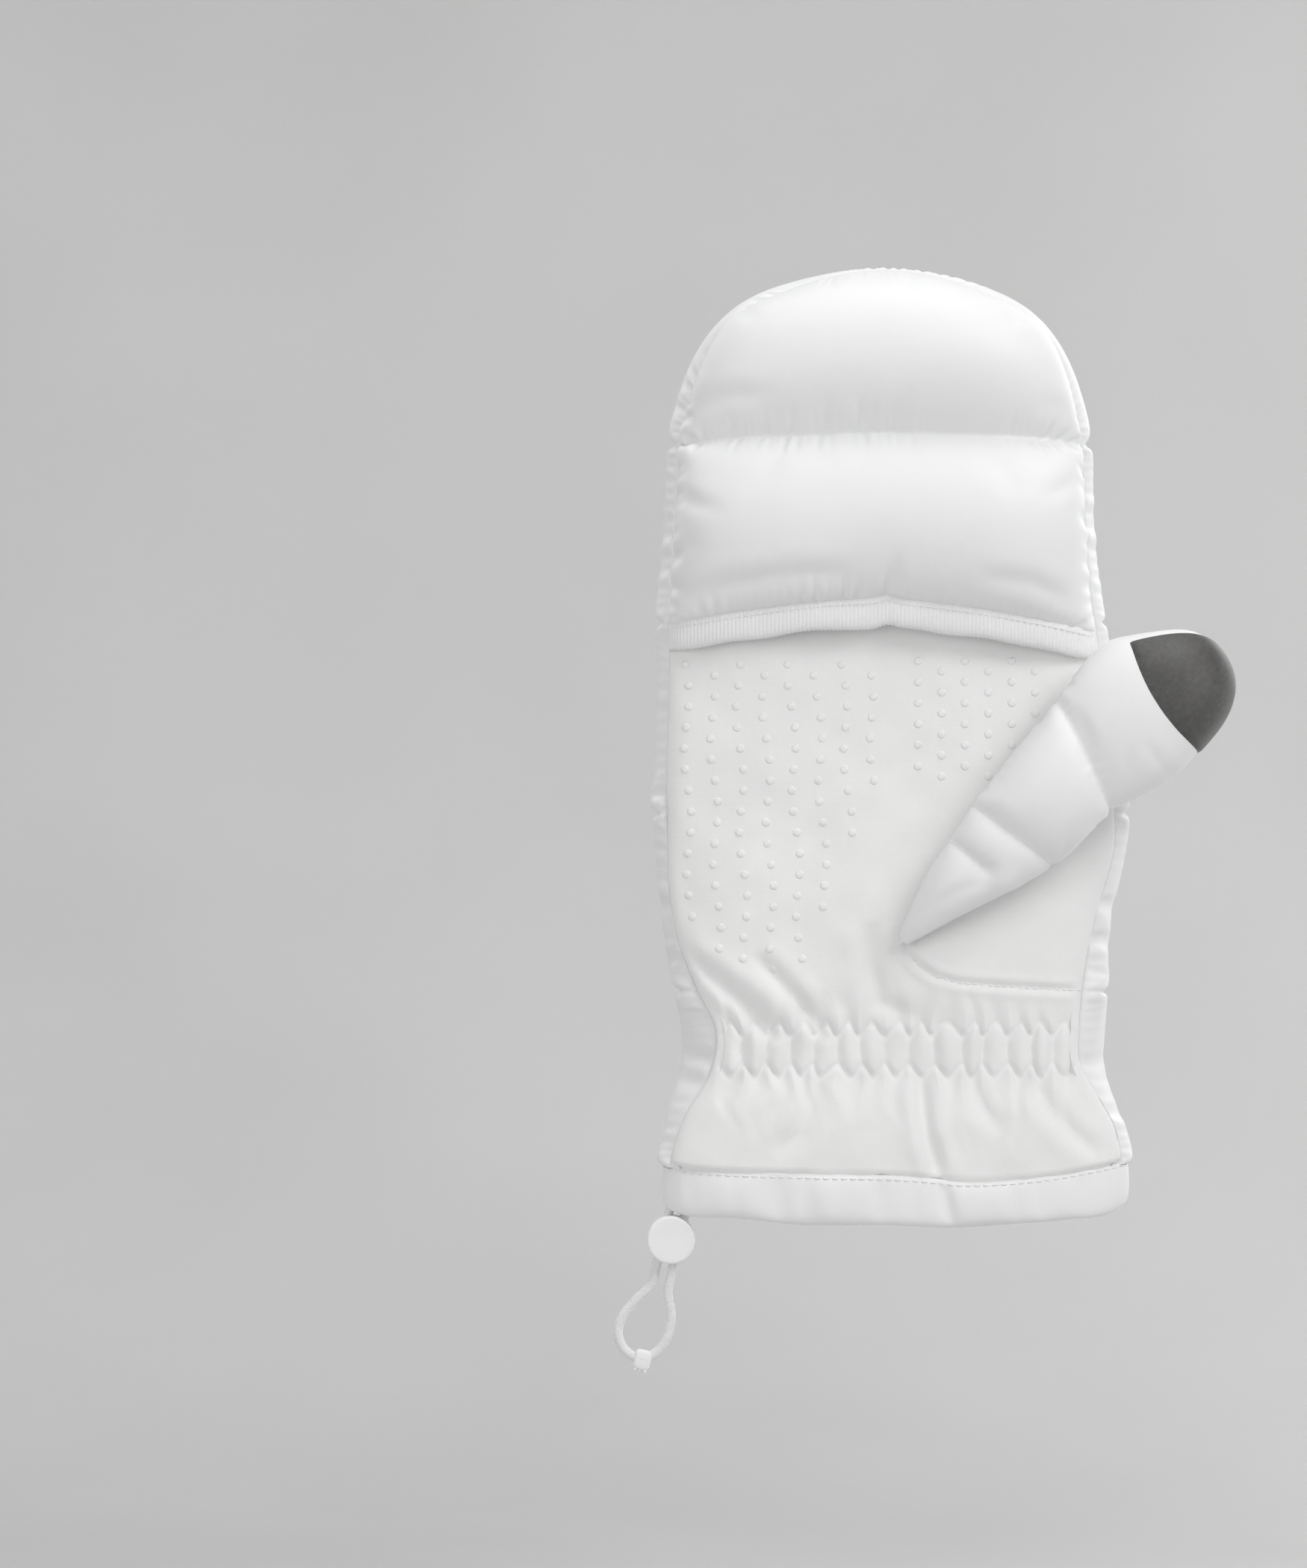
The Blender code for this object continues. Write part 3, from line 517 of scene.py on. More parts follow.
def dome_place(u, v):
    """Radius and direction, in shares of the dome's half width and height, of a square grid laid over the dome."""
    a, b = u * np.sqrt(1 - v * v / 2), v * np.sqrt(1 - u * u / 2)
    a = np.where(np.abs(a) + b < 1e-6, 1e-6, a)
    radius = np.hypot(a, b)
    c, d = a / radius, b / radius
    rho = (np.abs(c) ** DOME_POWER + np.abs(d) ** DOME_POWER) ** (-1 / DOME_POWER)
    return np.minimum(radius, 1.0), c * rho, d * rho


def back_row(u, z):
    share, y = back_place(u, np.full_like(u, z))
    return np.stack([middle_x(z) + half_width(z) * np.sign(u) * share, y, np.full_like(u, z)], axis=1)


def back_dome_row(u, v):
    radius, across, up = dome_place(u, np.full_like(u, v))
    height = DOME_Z + (TIP_Z - DOME_Z) * up * radius
    share, y = back_place(np.copysign(radius, u), height)
    return np.stack([middle_x(DOME_Z) + half_width(DOME_Z) * across * share, y,
                     DOME_Z + (TIP_Z - DOME_Z) * up * share], axis=1)


def back_base_depth(z):
    if z > DOME_Z:
        return 15 + 6.5 * min((z - DOME_Z) / 12, 1) ** 0.7
    for low, high in zip(SEAMS_BACK, SEAMS_BACK[1:]):
        if z <= high:
            return 14.6 + 7.0 * max(math.sin(math.pi * max(z - low, 0) / (high - low)), 0) ** 0.7
    return 14.6


def tucked(grid):
    """The grid with a seam allowance: its side edges and its last row turned into the mitten."""
    def turned(line):
        inside = np.stack([middle_x(line[:, 2]), np.zeros(len(line)), np.minimum(line[:, 2], DOME_Z)], axis=1) - line
        return line + 2.4 * inside / np.linalg.norm(inside, axis=1, keepdims=True)
    wider = np.concatenate([turned(grid[:, 0])[:, None], grid, turned(grid[:, -1])[:, None]], axis=1)
    return np.concatenate([wider, turned(wider[-1])[None]])


def gathers(grid, marks, u, across, along, seed):
    """Extra cloth of a quilted sheet: more of it is gathered into each seam, and into the edges."""
    x, z = grid[..., 0], grid[..., 2]
    rows = np.arange(len(grid))[:, None]
    near = np.zeros_like(x)
    for mark in [*marks, len(grid) - 1]:
        near = np.maximum(near, np.exp(-(((rows - mark) / 5.5) ** 2)))
    edge = np.exp(-(((1 - np.abs(u)) / 0.085) ** 2))[None, :]
    patchy = np.clip(0.8 + 0.6 * ripple(x, z, 38, seed), 0.15, 2)
    return (across + 0.01 * ripple(x, z, 40, seed + 1) + 0.19 * near * patchy,
            along + 0.012 * ripple(x, z, 60, seed + 2) + 0.17 * edge * patchy)


def span_rows(seams, per_span):
    """Heights of rows, a little closer together at each seam, and the numbers of the seam rows."""
    rows, marks = [], []
    for low, high in zip(seams, seams[1:]):
        marks.append(len(rows))
        share = np.linspace(0, 1, per_span + 1)[:-1]
        rows += list(low + (high - low) * (share - 0.06 * np.sin(2 * math.pi * share)))
    return rows, marks + [len(rows)]


def sewn_points(grid, rows):
    """Which points sewing holds: the given rows, both side edges and the last row."""
    pinned = np.zeros(grid.shape[:2], bool)
    pinned[rows] = pinned[-1] = True
    pinned[:, 0] = pinned[:, -1] = True
    return pinned


def make_back():
    cols = 125
    u = np.linspace(-1, 1, cols)
    rows, marks = span_rows(SEAMS_BACK, 34)
    grid = [back_row(u, z) for z in rows]
    grid += [back_dome_row(u, v) for v in np.linspace(0, 1, (40) + 1)]
    grid = np.array(grid)
    x = grid[..., 0]
    low = 1 - step_up(grid[..., 2], 16, 34)
    grid[..., 2] += low * (table(HEM_TOP, x) - 16.6)
    z = grid[..., 2]
    for mark in marks[1:]:
        grid[mark, 1:-1, 2] += 0.55 * ripple(x[mark, 1:-1], z[mark, 1:-1], 34, 8 + mark)
        grid[mark, 1:-1, 1] += 0.25 * ripple(x[mark, 1:-1], z[mark, 1:-1], 11, 9 + mark)
    pinned = sewn_points(grid, marks)
    grown = settle(grid, pinned, *gathers(grid, marks, u, 0.03, 0.05, 3), -PRESSURE, seed=4)
    obj = cloth("quilted_back", tucked(grown), "woven_shell", flip=True)
    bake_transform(obj)
    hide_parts("back_shell", "back_fill_3", "back_fill_4", "back_fill_5", "cap_back_shell", "cap_back_fill_1",
                "cap_back_fill_2")
    lines = []
    for mark in marks[1:]:
        outward = -normals_of(grown)[mark, 3:-3]
        lines += stitch_parts(grown[mark, 3:-3] + outward * 0.05, 3.0, outward)
    thread = sew("back_stitches", lines)
    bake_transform(thread)


# The palm: softshell with a shirred wrist, drape folds, sewn gusset lines and grip dots

def palm_edges(z):
    size = dome(z)
    left = middle_x(z) - (half_width(z) - table(LEFT_STRIP, z) - trim(z, -1)) * size
    right = middle_x(z) + (half_width(z) - table(RIGHT_STRIP, z) - trim(z, 1)) * size
    return left, right


# Folds as (polyline in X and Z, width, depth): those that run into the wrist, then those of the gauntlet
PALM_FOLDS = (([(-63, 79), (-52, 71), (-42, 62), (-34, 53)], 2.4, 1.5),
              ([(-42, 79), (-33, 70), (-25, 61), (-20, 53)], 2.2, 1.3),
              ([(-8, 88), (-7.5, 75), (-5, 65), (6, 60)], 2.6, 1.0), ([(-30, 58), (-20, 68)], 2.5, 0.5),
              ([(-50, 57), (-60, 68)], 2.5, 0.9), ([(6.5, 44), (7.5, 36), (8.5, 27), (11, 19), (12.5, 12)], 2.0, 1.6),
              ([(-24, 43), (-25, 34), (-28, 27), (-36, 21)], 2.6, 0.9), ([(22, 44), (25, 34), (31, 27)], 2.4, 0.9),
              ([(39, 43), (44, 35), (50, 28), (59, 20)], 2.4, 1.0), ([(-44, 44), (-52, 34)], 3.0, 0.7),
              ([(-10, 43), (-13, 30)], 2.4, 0.6), ([(50, 58), (57, 64)], 2.0, 0.6), ([(33, 58), (35, 66)], 2.0, 0.4))
GUSSET_SEAM = [(1.7, 81.5), (6, 76), (11, 72.5), (18, 70.6), (36, 69.2), (55, 68.2)]
PALM_LOW, PALM_SPAN = 12.5, 171.0
PLEATS = np.concatenate([[-52.0], -52.0 + np.cumsum(np.random.default_rng(12).uniform(6.2, 8.1, 16))])


def crease(x, z, line, width, depth, ends=6.0):
    """A soft valley along a polyline, with a slight ridge on each side."""
    line = np.array(line, float)
    best = np.full(np.broadcast(x, z).shape, 1e9)
    fade = np.zeros_like(best)
    steps = lengths(line)
    for (a, b), start in zip(zip(line, line[1:]), steps):
        way = b - a
        t = np.clip(((x - a[0]) * way[0] + (z - a[1]) * way[1]) / (way @ way), 0, 1)
        distance = np.hypot(x - a[0] - t * way[0], z - a[1] - t * way[1])
        along = start + t * np.linalg.norm(way)
        closer = distance < best
        best = np.where(closer, distance, best)
        fade = np.where(closer, np.minimum(along, steps[-1] - along), fade)
    shape = -np.exp(-((best / width) ** 2)) + 0.45 * np.exp(-(((best - 2.2 * width) / (1.3 * width)) ** 2))
    return depth * shape * np.clip(fade / ends, 0, 1) ** 0.7


def palm_relief(x, z):
    """How far the palm stands out over its plain form."""
    out = 0.35 * ripple(x, z, 34, 21) + 0.12 * ripple(x, z, 12, 22)
    # shirring between and around the two elastic rows
    x_at = x + 0.9 * ripple(x, z, 15, 23) * (0.3 + np.abs(z - 51) / 12)
    k = np.clip(np.searchsorted(PLEATS, x_at) - 1, 0, len(PLEATS) - 2)
    share = np.clip((x_at - PLEATS[k]) / (PLEATS[k + 1] - PLEATS[k]), 0, 1)
    puff = np.sin(math.pi * share) ** 0.9
    inside = step_up(x, -58, -51) * (1 - step_up(x, 50, 56))
    high = np.random.default_rng(5).uniform(0.7, 1.3, (2, len(PLEATS)))
    zigzag = 1.7 * np.cos(2 * math.pi * share)
    low_row, high_row = WRIST[0] + zigzag, WRIST[1] - zigzag
    mid = np.clip((z - low_row) / (high_row - low_row), 0, 1)
    between = (z > low_row) & (z < high_row)
    out += inside * high[0][k] * np.where(between, 1.9 * np.sin(math.pi * mid) ** 0.8 * (puff - 0.4), 0)
    above, below = np.maximum(z - high_row, 0), np.maximum(low_row - z, 0)
    flute = 0.5 - puff
    out += inside * high[1][k] * 2.0 * flute * (1 - np.exp(-above / 1.2)) * np.exp(-above / 5.0)
    out += inside * high[0][k] * 2.0 * flute * (1 - np.exp(-below / 1.2)) * np.exp(-below / 6.0)
    for row in (low_row, high_row):
        out -= 0.75 * np.exp(-(((z - row) / 1.1) ** 2)) * inside
    out -= 1.0 * inside * bell(z, 51, 12)
    for line, width, depth in PALM_FOLDS:
        out += crease(x, z, line, width, depth)
    return out + crease(x, z, GUSSET_SEAM, 1.0, 0.9, 2.0)


def palm_surface(x, z):
    """Y of the palm's face."""
    left, right = palm_edges(z)
    mid, wide = (left + right) / 2, (right - left) / 2
    share = np.clip(np.abs((x - mid) / wide), 0, 1)
    edge = table(STRIP_Y, z)
    form = (1 - share**3.2) ** (1 / 2.2)
    y = edge + (table(PALM_DEPTH, z) - edge) * form
    return -(y + palm_relief(x, z) * step_up(1 - share, 0.0, 0.10))


def make_palm():
    cols, step = ((280, 0.8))
    heights = np.arange(0, PALM_SPAN, step) / PALM_SPAN
    u = (1 - np.cos(np.linspace(0, math.pi, cols))) / 2 * 0.35 + np.linspace(0, 1, cols) * 0.65
    share, u = np.meshgrid(heights, u, indexing="ij")
    z = PALM_LOW + PALM_SPAN * share
    tuck = step_up(z, 175, 182) * 1.2
    left, right = palm_edges(z)
    x = left + tuck + (right - left - 2 * tuck) * u
    z = z + (table(HEM_TOP, x) - 3.5 - PALM_LOW) * (1 - share) ** 4
    hidden = 1 - step_up(z - table(HEM_TOP, x), -0.6, 1.4)
    y = palm_surface(x, z) + hidden * (1.7 + np.minimum(palm_relief(x, z), 0))
    x = x * (1 - 0.03 * hidden * np.abs(2 * u - 1) ** 8)
    grid = np.stack([x, y, z], axis=-1)
    obj = cloth("palm_softshell_panel", tucked(grid), "palm_softshell", subdivide=0, solid=2.6)
    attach(obj, "hand")
    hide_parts("palm_panel", "thumb_gusset", "palm_insulation", "gauntlet_insulation", "wrist_elastic")
    seam = resample(np.array(GUSSET_SEAM, float), 60)
    seam = np.stack([seam[:, 0], palm_surface(seam[:, 0], seam[:, 1]) - 0.1, seam[:, 1]], axis=1)
    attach(sew("palm_stitches", stitch_parts(seam, 2.2, (0, -1, 0))), "hand")
    make_dots()


def dot_places():
    """Places of the silicone dots: columns of them on the finger side of the palm, fewer by the thumb."""
    places = []
    for column in range(8):
        x0 = -61.5 + column * 7.6
        lowest = (84, 78, 74, 71, 74, 92, 112, 128)[column]
        z = 163.0 - 3.2 * (column % 2)
        row = 0
        while z > lowest:
            sway = 0.9 * math.sin(row * 1.1 + column)
            places.append((x0 + sway + 0.02 * (163 - z) * (1 + column * 0.2), z))
            z -= 6.1
            row += 1
    for column in range(6):
        for row in range(6):
            x, z = 6.0 + column * 6.8, 164.0 - 3.0 * (column % 2) - row * 6.1
            if z > 92 + 1.18 * x + 6 and x < 42:
                places.append((x, z))
    return places


def make_dots():
    rings, sides = ((1.25, -0.3), (1.2, 0.08), (0.95, 0.24), (0.5, 0.33)), 16
    parts = []
    for x, z in dot_places():
        y, beside, above = palm_surface(np.array([x, x + 1, x]), np.array([z, z, z + 1])).tolist()
        points = []
        for radius, out in rings:
            for k in range(sides):
                a = 2 * math.pi * k / sides
                dx, dz = radius * math.cos(a), radius * math.sin(a)
                points.append((x + dx, y - out + (beside - y) * dx + (above - y) * dz, z + dz))
        points.append((x, y - 0.36, z))
        top = (len(rings) - 1) * sides
        crown = [(top + k, top + (k + 1) % sides, len(points) - 1) for k in range(sides)]
        parts.append((points, ring_faces(len(rings), sides) + crown))
    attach(join_parts("grip_dots", parts, "grip_silicone"), "hand")


# The cap's palm side: two baffles and a bound edge

def flap_low(x):
    """Height of the top of the binding: it rises in the middle of the palm."""
    side = (x - ARCH_PEAK) / (np.where(x < ARCH_PEAK, ARCH_LEFT, ARCH_RIGHT) - ARCH_PEAK)
    ends = np.where(x < ARCH_PEAK, 174.5, 172.4)
    pinch = 1.1 * bell(x, -3.0, 3.0)
    return ends + (181.6 - ends) * (1 - np.clip(side, 0, 1) ** 1.5) + pinch


def swollen(rim, deep, share):
    """Depth of a baffle at a share of its way from the middle, 0, to its rim, 1."""
    return rim + (deep - rim) * (1 - share**2.7) ** (1 / 2.3)


def flap_depth(x, z):
    left, right = palm_edges(z)
    mid, wide = (left + right) / 2, np.maximum((right - left) / 2, 1e-3)
    share = np.clip(np.abs((x - mid) / wide), 0, 1)
    return swollen(table(STRIP_Y, z) * dome(z), table(FLAP_DEPTH, z) * dome(z), share)


FLAP_FOLDS = (([(-64, 181), (-50, 185.5), (-30, 188.5), (-14, 189)], 2.6, 0.8),
              ([(22, 188), (38, 186), (53, 180)], 2.4, 0.7),
              ([(-67, 214), (-58, 209), (-50, 207)], 2.0, 0.8), ([(-67, 199), (-56, 196)], 2.0, 0.7),
              ([(-3, 183), (-2, 188), (0, 194)], 1.8, 0.8), ([(54, 218), (46, 213), (40, 211)], 2.0, 0.6),
              ([(-60, 236), (-50, 240), (-36, 241)], 2.6, 0.6), ([(50, 236), (40, 239)], 2.2, 0.5),
              ([(-10, 232), (-2, 236), (4, 243)], 2.6, 0.35), ([(22, 226), (30, 219), (34, 211)], 3.0, 0.45),
              ([(-34, 226), (-38, 218), (-46, 212)], 3.0, 0.45), ([(-48, 268), (-40, 262)], 2.0, 0.6),
              ([(38, 266), (30, 260)], 2.0, 0.6), ([(4, 279), (2, 270)], 1.8, 0.5),
              ([(-20, 278), (-19, 270)], 1.8, 0.5))


FLAP_LOW, SEAM_RISE = 176, 3.0


def make_flap():
    cols = 125
    u = np.linspace(-1, 1, cols)
    grid = []
    low_rows = 36
    for share in np.linspace(0, 1, low_rows + 1)[:-1]:
        share = share - 0.05 * math.sin(2 * math.pi * share)
        z_mid = FLAP_LOW + (DOME_Z - FLAP_LOW) * share
        left, right = palm_edges(z_mid)
        x = left + (right - left) * (u + 1) / 2
        seam = DOME_Z + SEAM_RISE * (1 - u * u)
        y = -flap_depth(x, np.full_like(x, z_mid))
        grid.append(np.stack([x, y, flap_low(x) + (seam - flap_low(x)) * share], axis=-1))
    seam_row = len(grid)
    wide = float(half_width(DOME_Z))
    for v in np.linspace(0, 1, (40) + 1):
        radius, across, up = dome_place(u, np.full_like(u, v))
        height = DOME_Z + (TIP_Z - DOME_Z) * up * radius
        strip = np.where(u < 0, table(LEFT_STRIP, height), table(RIGHT_STRIP, height))
        edge = (1 - trim(height, u) / wide) * (1 - strip / wide)
        y = -swollen(table(STRIP_Y, height), table(FLAP_DEPTH, height), radius)
        z = DOME_Z + (TIP_Z - DOME_Z) * up * radius * edge + SEAM_RISE * (1 - u * u) * (1 - v)
        grid.append(np.stack([middle_x(DOME_Z) + wide * across * radius * edge, y, z], axis=-1))
    grid = np.array(grid)
    pinned = sewn_points(grid, [0, seam_row])
    x, z = grid[..., 0], grid[..., 2]
    grid[seam_row, 1:-1, 1] -= 0.25 * ripple(x[seam_row, 1:-1], z[seam_row, 1:-1], 10, 33)
    grid[seam_row, 1:-1, 2] += 0.4 * ripple(x[seam_row, 1:-1], z[seam_row, 1:-1], 30, 34)
    grown = settle(grid, pinned, *gathers(grid, [0, seam_row], u, 0.02, 0.03, 31), PRESSURE, seed=9)
    x, z = grown[..., 0], grown[..., 2]
    fold = sum(crease(x, z, line, width, depth, 9.0) for line, width, depth in FLAP_FOLDS) * np.where(pinned, 0, 1)
    grown = grown + normals_of(grown) * fold[..., None]
    obj = cloth("cap_palm_quilting", tucked(grown), "woven_shell")
    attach(obj, "cap")
    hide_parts("cap_palm_shell", "cap_palm_fill_1", "cap_palm_fill_2")
    out = normals_of(grown)[seam_row, 2:-2]
    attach(sew("cap_stitches", stitch_parts(grown[seam_row, 2:-2] + out * 0.05, 3.0, out)), "cap")
    make_binding(grown[0])


def make_binding(top):
    """Elastic tape folded over the cap's edge: fine ribs, and a slight scallop along its lower fold."""
    line = resample(top, 700)
    steps = lengths(line)
    rib = np.sin(2 * math.pi * steps / 1.15)
    slow = ripple(steps, 0.0, 16, 41)
    grid = []
    profile = ((0.6, -1.6), (0.75, 0.2), (0.55, 0.9), (-1.0, 1.15), (-3.0, 1.25), (-5.0, 1.15), (-6.8, 0.8),
               (-7.8, 0.1), (-8.1, -0.9), (-7.7, -1.9), (-6.5, -2.4), (-4.0, -2.6), (-1.0, -2.7), (0.4, -2.4))
    for down, out in profile:
        row = line.copy()
        lower = np.clip(-down / 8, 0, 1)
        row[:, 2] += down + 0.14 * rib * (lower > 0.9) + 0.35 * slow * lower
        row[:, 1] -= out + (0.10 * rib + 0.18 * slow) * (out > 0)
        grid.append(row)
    obj = cloth("cap_edge_tape", np.array(grid), "knit_binding", subdivide=0)
    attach(obj, "cap")
    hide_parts("cap_binding")
    seam = line[8:-8] - (0, 1.32, 1.1)
    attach(sew("binding_stitches", stitch_parts(seam, 1.9, (0, -1, 0), 0.7, 0.17)), "cap")


# The thumb, station by station: X and Z of its finger side, X and Z of its wrist side, and its half depth

THUMB_STATIONS = ((1.7, 81.2, 1.9, 81.0, 0.8), (4.6, 90.0, 8.8, 84.8, 3.4), (10.2, 102.5, 22.0, 92.0, 6.2),
                  (16.4, 111.6, 33.5, 98.3, 8.2), (23.2, 121.9, 46.0, 105.0, 9.6), (34.0, 136.4, 55.0, 113.5, 11.4),
                  (47.6, 152.2, 62.6, 121.0, 11.4), (54.8, 162.8, 73.5, 126.2, 12.0), (61.8, 169.6, 81.8, 131.6, 12.0),
                  (70.0, 171.8, 87.0, 137.6, 11.8), (78.0, 172.8, 91.6, 142.4, 11.2), (84.8, 171.8, 95.4, 147.6, 10.0),
                  (90.2, 168.4, 97.6, 153.0, 7.8), (93.8, 164.0, 98.0, 158.0, 4.6), (95.8, 161.6, 96.4, 160.6, 0.6))
THUMB_SEAMS = (3.0, 4.0, 6.0)
THUMB_BACK = 13.8
# The thumb is nearer to the camera than the palm, so the same outline is a little smaller there
THUMB_SCALE = 0.983
THUMB_FOLDS = (([(50, 150), (53, 143), (55, 137)], 1.5, 0.3), ([(60, 124), (64, 132), (66, 139)], 1.6, 0.35),
               ([(8, 92), (16, 97), (26, 101)], 1.6, 0.3), ([(46, 107), (48, 114), (51, 119)], 1.4, 0.35),
               ([(76, 131), (72, 137), (69, 141)], 1.6, 0.3), ([(24, 123), (28, 121), (31, 118)], 1.3, 0.3))


def make_thumb():
    cols, count = ((80, 150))
    stations = np.linspace(0.0, len(THUMB_STATIONS) - 1, count)
    for seam in THUMB_SEAMS:
        stations[np.argmin(np.abs(stations - seam))] = seam
    ux, uz, bx, bz, deep = (table(list(enumerate(column)), stations) for column in zip(*THUMB_STATIONS))
    angles = 2 * math.pi * np.arange(cols) / cols
    across, out = np.cos(angles), np.sin(angles)
    across = np.sign(across) * np.abs(across) ** 0.9
    out = np.sign(out) * np.abs(out) ** 0.85
    ux, bx = (VIEW_X + (edge - VIEW_X) * THUMB_SCALE for edge in (ux, bx))
    uz, bz = (VIEW_Z + (edge - VIEW_Z) * THUMB_SCALE for edge in (uz, bz))
    ux, bx = (edge - 4.2 * step_up(edge, 80, 98) for edge in (ux, bx))
    # the first seam runs only part of the way round
    part = {seam: np.ones(cols, bool) for seam in THUMB_SEAMS}
    part[THUMB_SEAMS[0]] = (across > -0.25) | (out < -0.2)
    squeeze = np.ones((count, cols))
    for seam in THUMB_SEAMS:
        squeeze -= 0.10 * np.exp(-(((stations - seam) / 0.16) ** 2))[:, None] * part[seam]
    grid = np.empty((count, cols, 3))
    grid[..., 0] = (ux + bx)[:, None] / 2 + (ux - bx)[:, None] / 2 * across
    grid[..., 2] = (uz + bz)[:, None] / 2 + (uz - bz)[:, None] / 2 * across
    grid[..., 1] = -THUMB_BACK - deep[:, None] - deep[:, None] * squeeze * out
    pinned = np.zeros((count, cols + 1), bool)
    seam_rows = {seam: int(np.argmin(np.abs(stations - seam))) for seam in THUMB_SEAMS}
    for seam, row in seam_rows.items():
        pinned[row, :-1] = part[seam]
    pinned[:3] = pinned[-4:] = True
    pinned[:, out.argmin()] = True
    pinned[:, np.append(out, out[0]) < -0.6] = True
    closed = np.concatenate([grid, grid[:, :1]], axis=1)
    inward = 1 if faces_in(closed) else -1
    pinned[:, 0] = pinned[:, -1] = True
    x, z = closed[..., 0], closed[..., 2]
    near = sum(np.exp(-(((stations - seam) / 0.22) ** 2)) for seam in THUMB_SEAMS)[:, None]
    edge = np.exp(-((np.append(out, out[0]) / 0.22) ** 2))[None, :]
    patchy = np.clip(0.8 + 0.6 * ripple(x, z, 24, 73), 0.1, 2) * (1 - step_up(stations, 7.6, 8.6))[:, None]
    slack_across = 0.012 + 0.01 * ripple(x, z, 20, 71) + 0.14 * near * patchy
    slack_along = 0.03 + 0.01 * ripple(x, z, 25, 72) + 0.07 * edge * patchy
    grown = settle(closed, pinned, slack_across, slack_along, -0.04 * inward, seed=17)
    fold = sum(crease(grown[..., 0], grown[..., 2], line, width, depth, 5.0) for line, width, depth in THUMB_FOLDS)
    grown = grown - inward * normals_of(grown) * (fold * (grown[..., 1] < -THUMB_BACK - 9))[..., None]
    grown = grown[:, :-1]
    tip = grown[-1].mean(axis=0)
    whole = np.concatenate([grown, [tip + (grown[-1] - tip) * share for share in (0.5, 0.1)]])
    obj = cloth("thumb_quilting", whole, "woven_shell", closed=True, flip=inward > 0)
    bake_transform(obj)
    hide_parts("thumb_base_shell", "thumb_base_fill", "thumb_base_lining", "thumb_shell", "thumb_fill",
                "thumb_lining")
    outward = -inward * normals_of(closed)
    lines = []
    for seam, row in seam_rows.items():
        front = np.where((out > 0.05) & part[seam])[0]
        lines += stitch_parts(grown[row, front] + outward[row, front] * 0.05, 2.6, outward[row, front])
    thread = sew("thumb_stitches", lines)
    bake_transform(thread)
    make_patch(stations, grown, outward[:, :-1])


def faces_in(grid, middle=None, rows=slice(None)):
    """True if the normals point to the middle: a point, or as it is by default, the middle of each row."""
    if middle is None:
        middle = grid.mean(axis=1, keepdims=True)
    return float(((grid - middle) * normals_of(grid))[rows].sum(axis=2).mean()) < 0


def sampled(grid, rows, cols):
    """Points of a grid at fractional rows and columns."""
    r, c = (np.clip(np.floor(at).astype(int), 0, size - 2) for at, size in zip((rows, cols), grid.shape))
    down, over = (rows - r)[..., None], (cols - c)[..., None]
    return ((grid[r, c] * (1 - over) + grid[r, c + 1] * over) * (1 - down)
            + (grid[r + 1, c] * (1 - over) + grid[r + 1, c + 1] * over) * down)


def make_patch(stations, grown, outward):
    """Ribbed leather over the front of the thumb's tip. Its inner edge curves towards the wrist side."""
    down, over = np.meshgrid(np.linspace(0, 1, 60), np.linspace(0, 1, 48), indexing="ij")
    first, last = 24 + 30 * down**1.5, 205.0
    angle = np.radians(first + (last - first) * over)
    side = (1 - np.cos(angle)) / 2
    start = 8.6 - 0.62 * np.sin(math.pi * side) ** 0.9 + 0.2 * side
    station = start + (13.9 - start) * down
    rows = np.interp(station, stations, np.arange(len(stations)))
    cols = angle / (2 * math.pi) * grown.shape[1]
    # its edges are sewn under the cloth's surface, and it stands proud between them
    rim = np.minimum(np.minimum(down * 24 + 0.02, 1), np.minimum(over, 1 - over) * 40)
    lift = -0.3 + 0.95 * np.clip(rim, 0, 1) ** 0.5
    base = sampled(grown, rows, cols)
    inside, centre = (np.array([np.interp(at, stations, line) for line in grown.mean(axis=1).T])
                      for at in (11.0, 12.2))
    from_centre = (base - centre) / np.linalg.norm(base - centre, axis=2, keepdims=True)
    tip = step_up(station, 12.0, 13.2)[..., None]
    grid = base + (sampled(outward, rows, cols) * (1 - tip) + from_centre * tip) * lift[..., None]
    obj = cloth("touch_patch", grid, "ribbed_leather", flip=faces_in(grid, inside))
    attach(obj, "thumb")
    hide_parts("thumb_touch_patch")


# The hem: a folded band round the cuff

# X of the inner wall at the end where the drawcord's strands run up inside
CHANNEL_WALL = -57.5


def hem_ring(count, inward, z_share, out):
    """One ring of the hem: z_share runs from its lower edge, 0, to its top seam, 1."""
    angles = 2 * math.pi * (np.arange(count) + 0.5) / count
    across, deep = np.cos(angles), np.sin(angles)
    x_unit = np.sign(across) * np.abs(across) ** 0.8
    front = deep < 0
    wide = 67.6 - inward
    x = wide * x_unit
    low, high = table(HEM_LOW, x), table(HEM_TOP, x)
    z = low + (high - low) * z_share
    reach = np.where(front, 12.9, 14.4) - inward
    puff = 0.5 * ripple(x, angles * 20, 26, 51) + 0.25 * ripple(x, angles * 20, 9, 52)
    fold = 1.5 * bell(x, 13.0 + 3 * (1 - z_share), 2.2) * front * min(max(out, 0), 1.2) / 1.2
    y = np.sign(deep) * (np.abs(deep) ** 0.8 * (reach + out + puff * out / 1.2) - fold * np.abs(deep))
    x = x + np.sign(x) * (out * 0.5) * (np.abs(x_unit) ** 6)
    x = np.where(inward > 3.5, np.maximum(x, CHANNEL_WALL), x)
    return np.stack([x, y, z], axis=1)


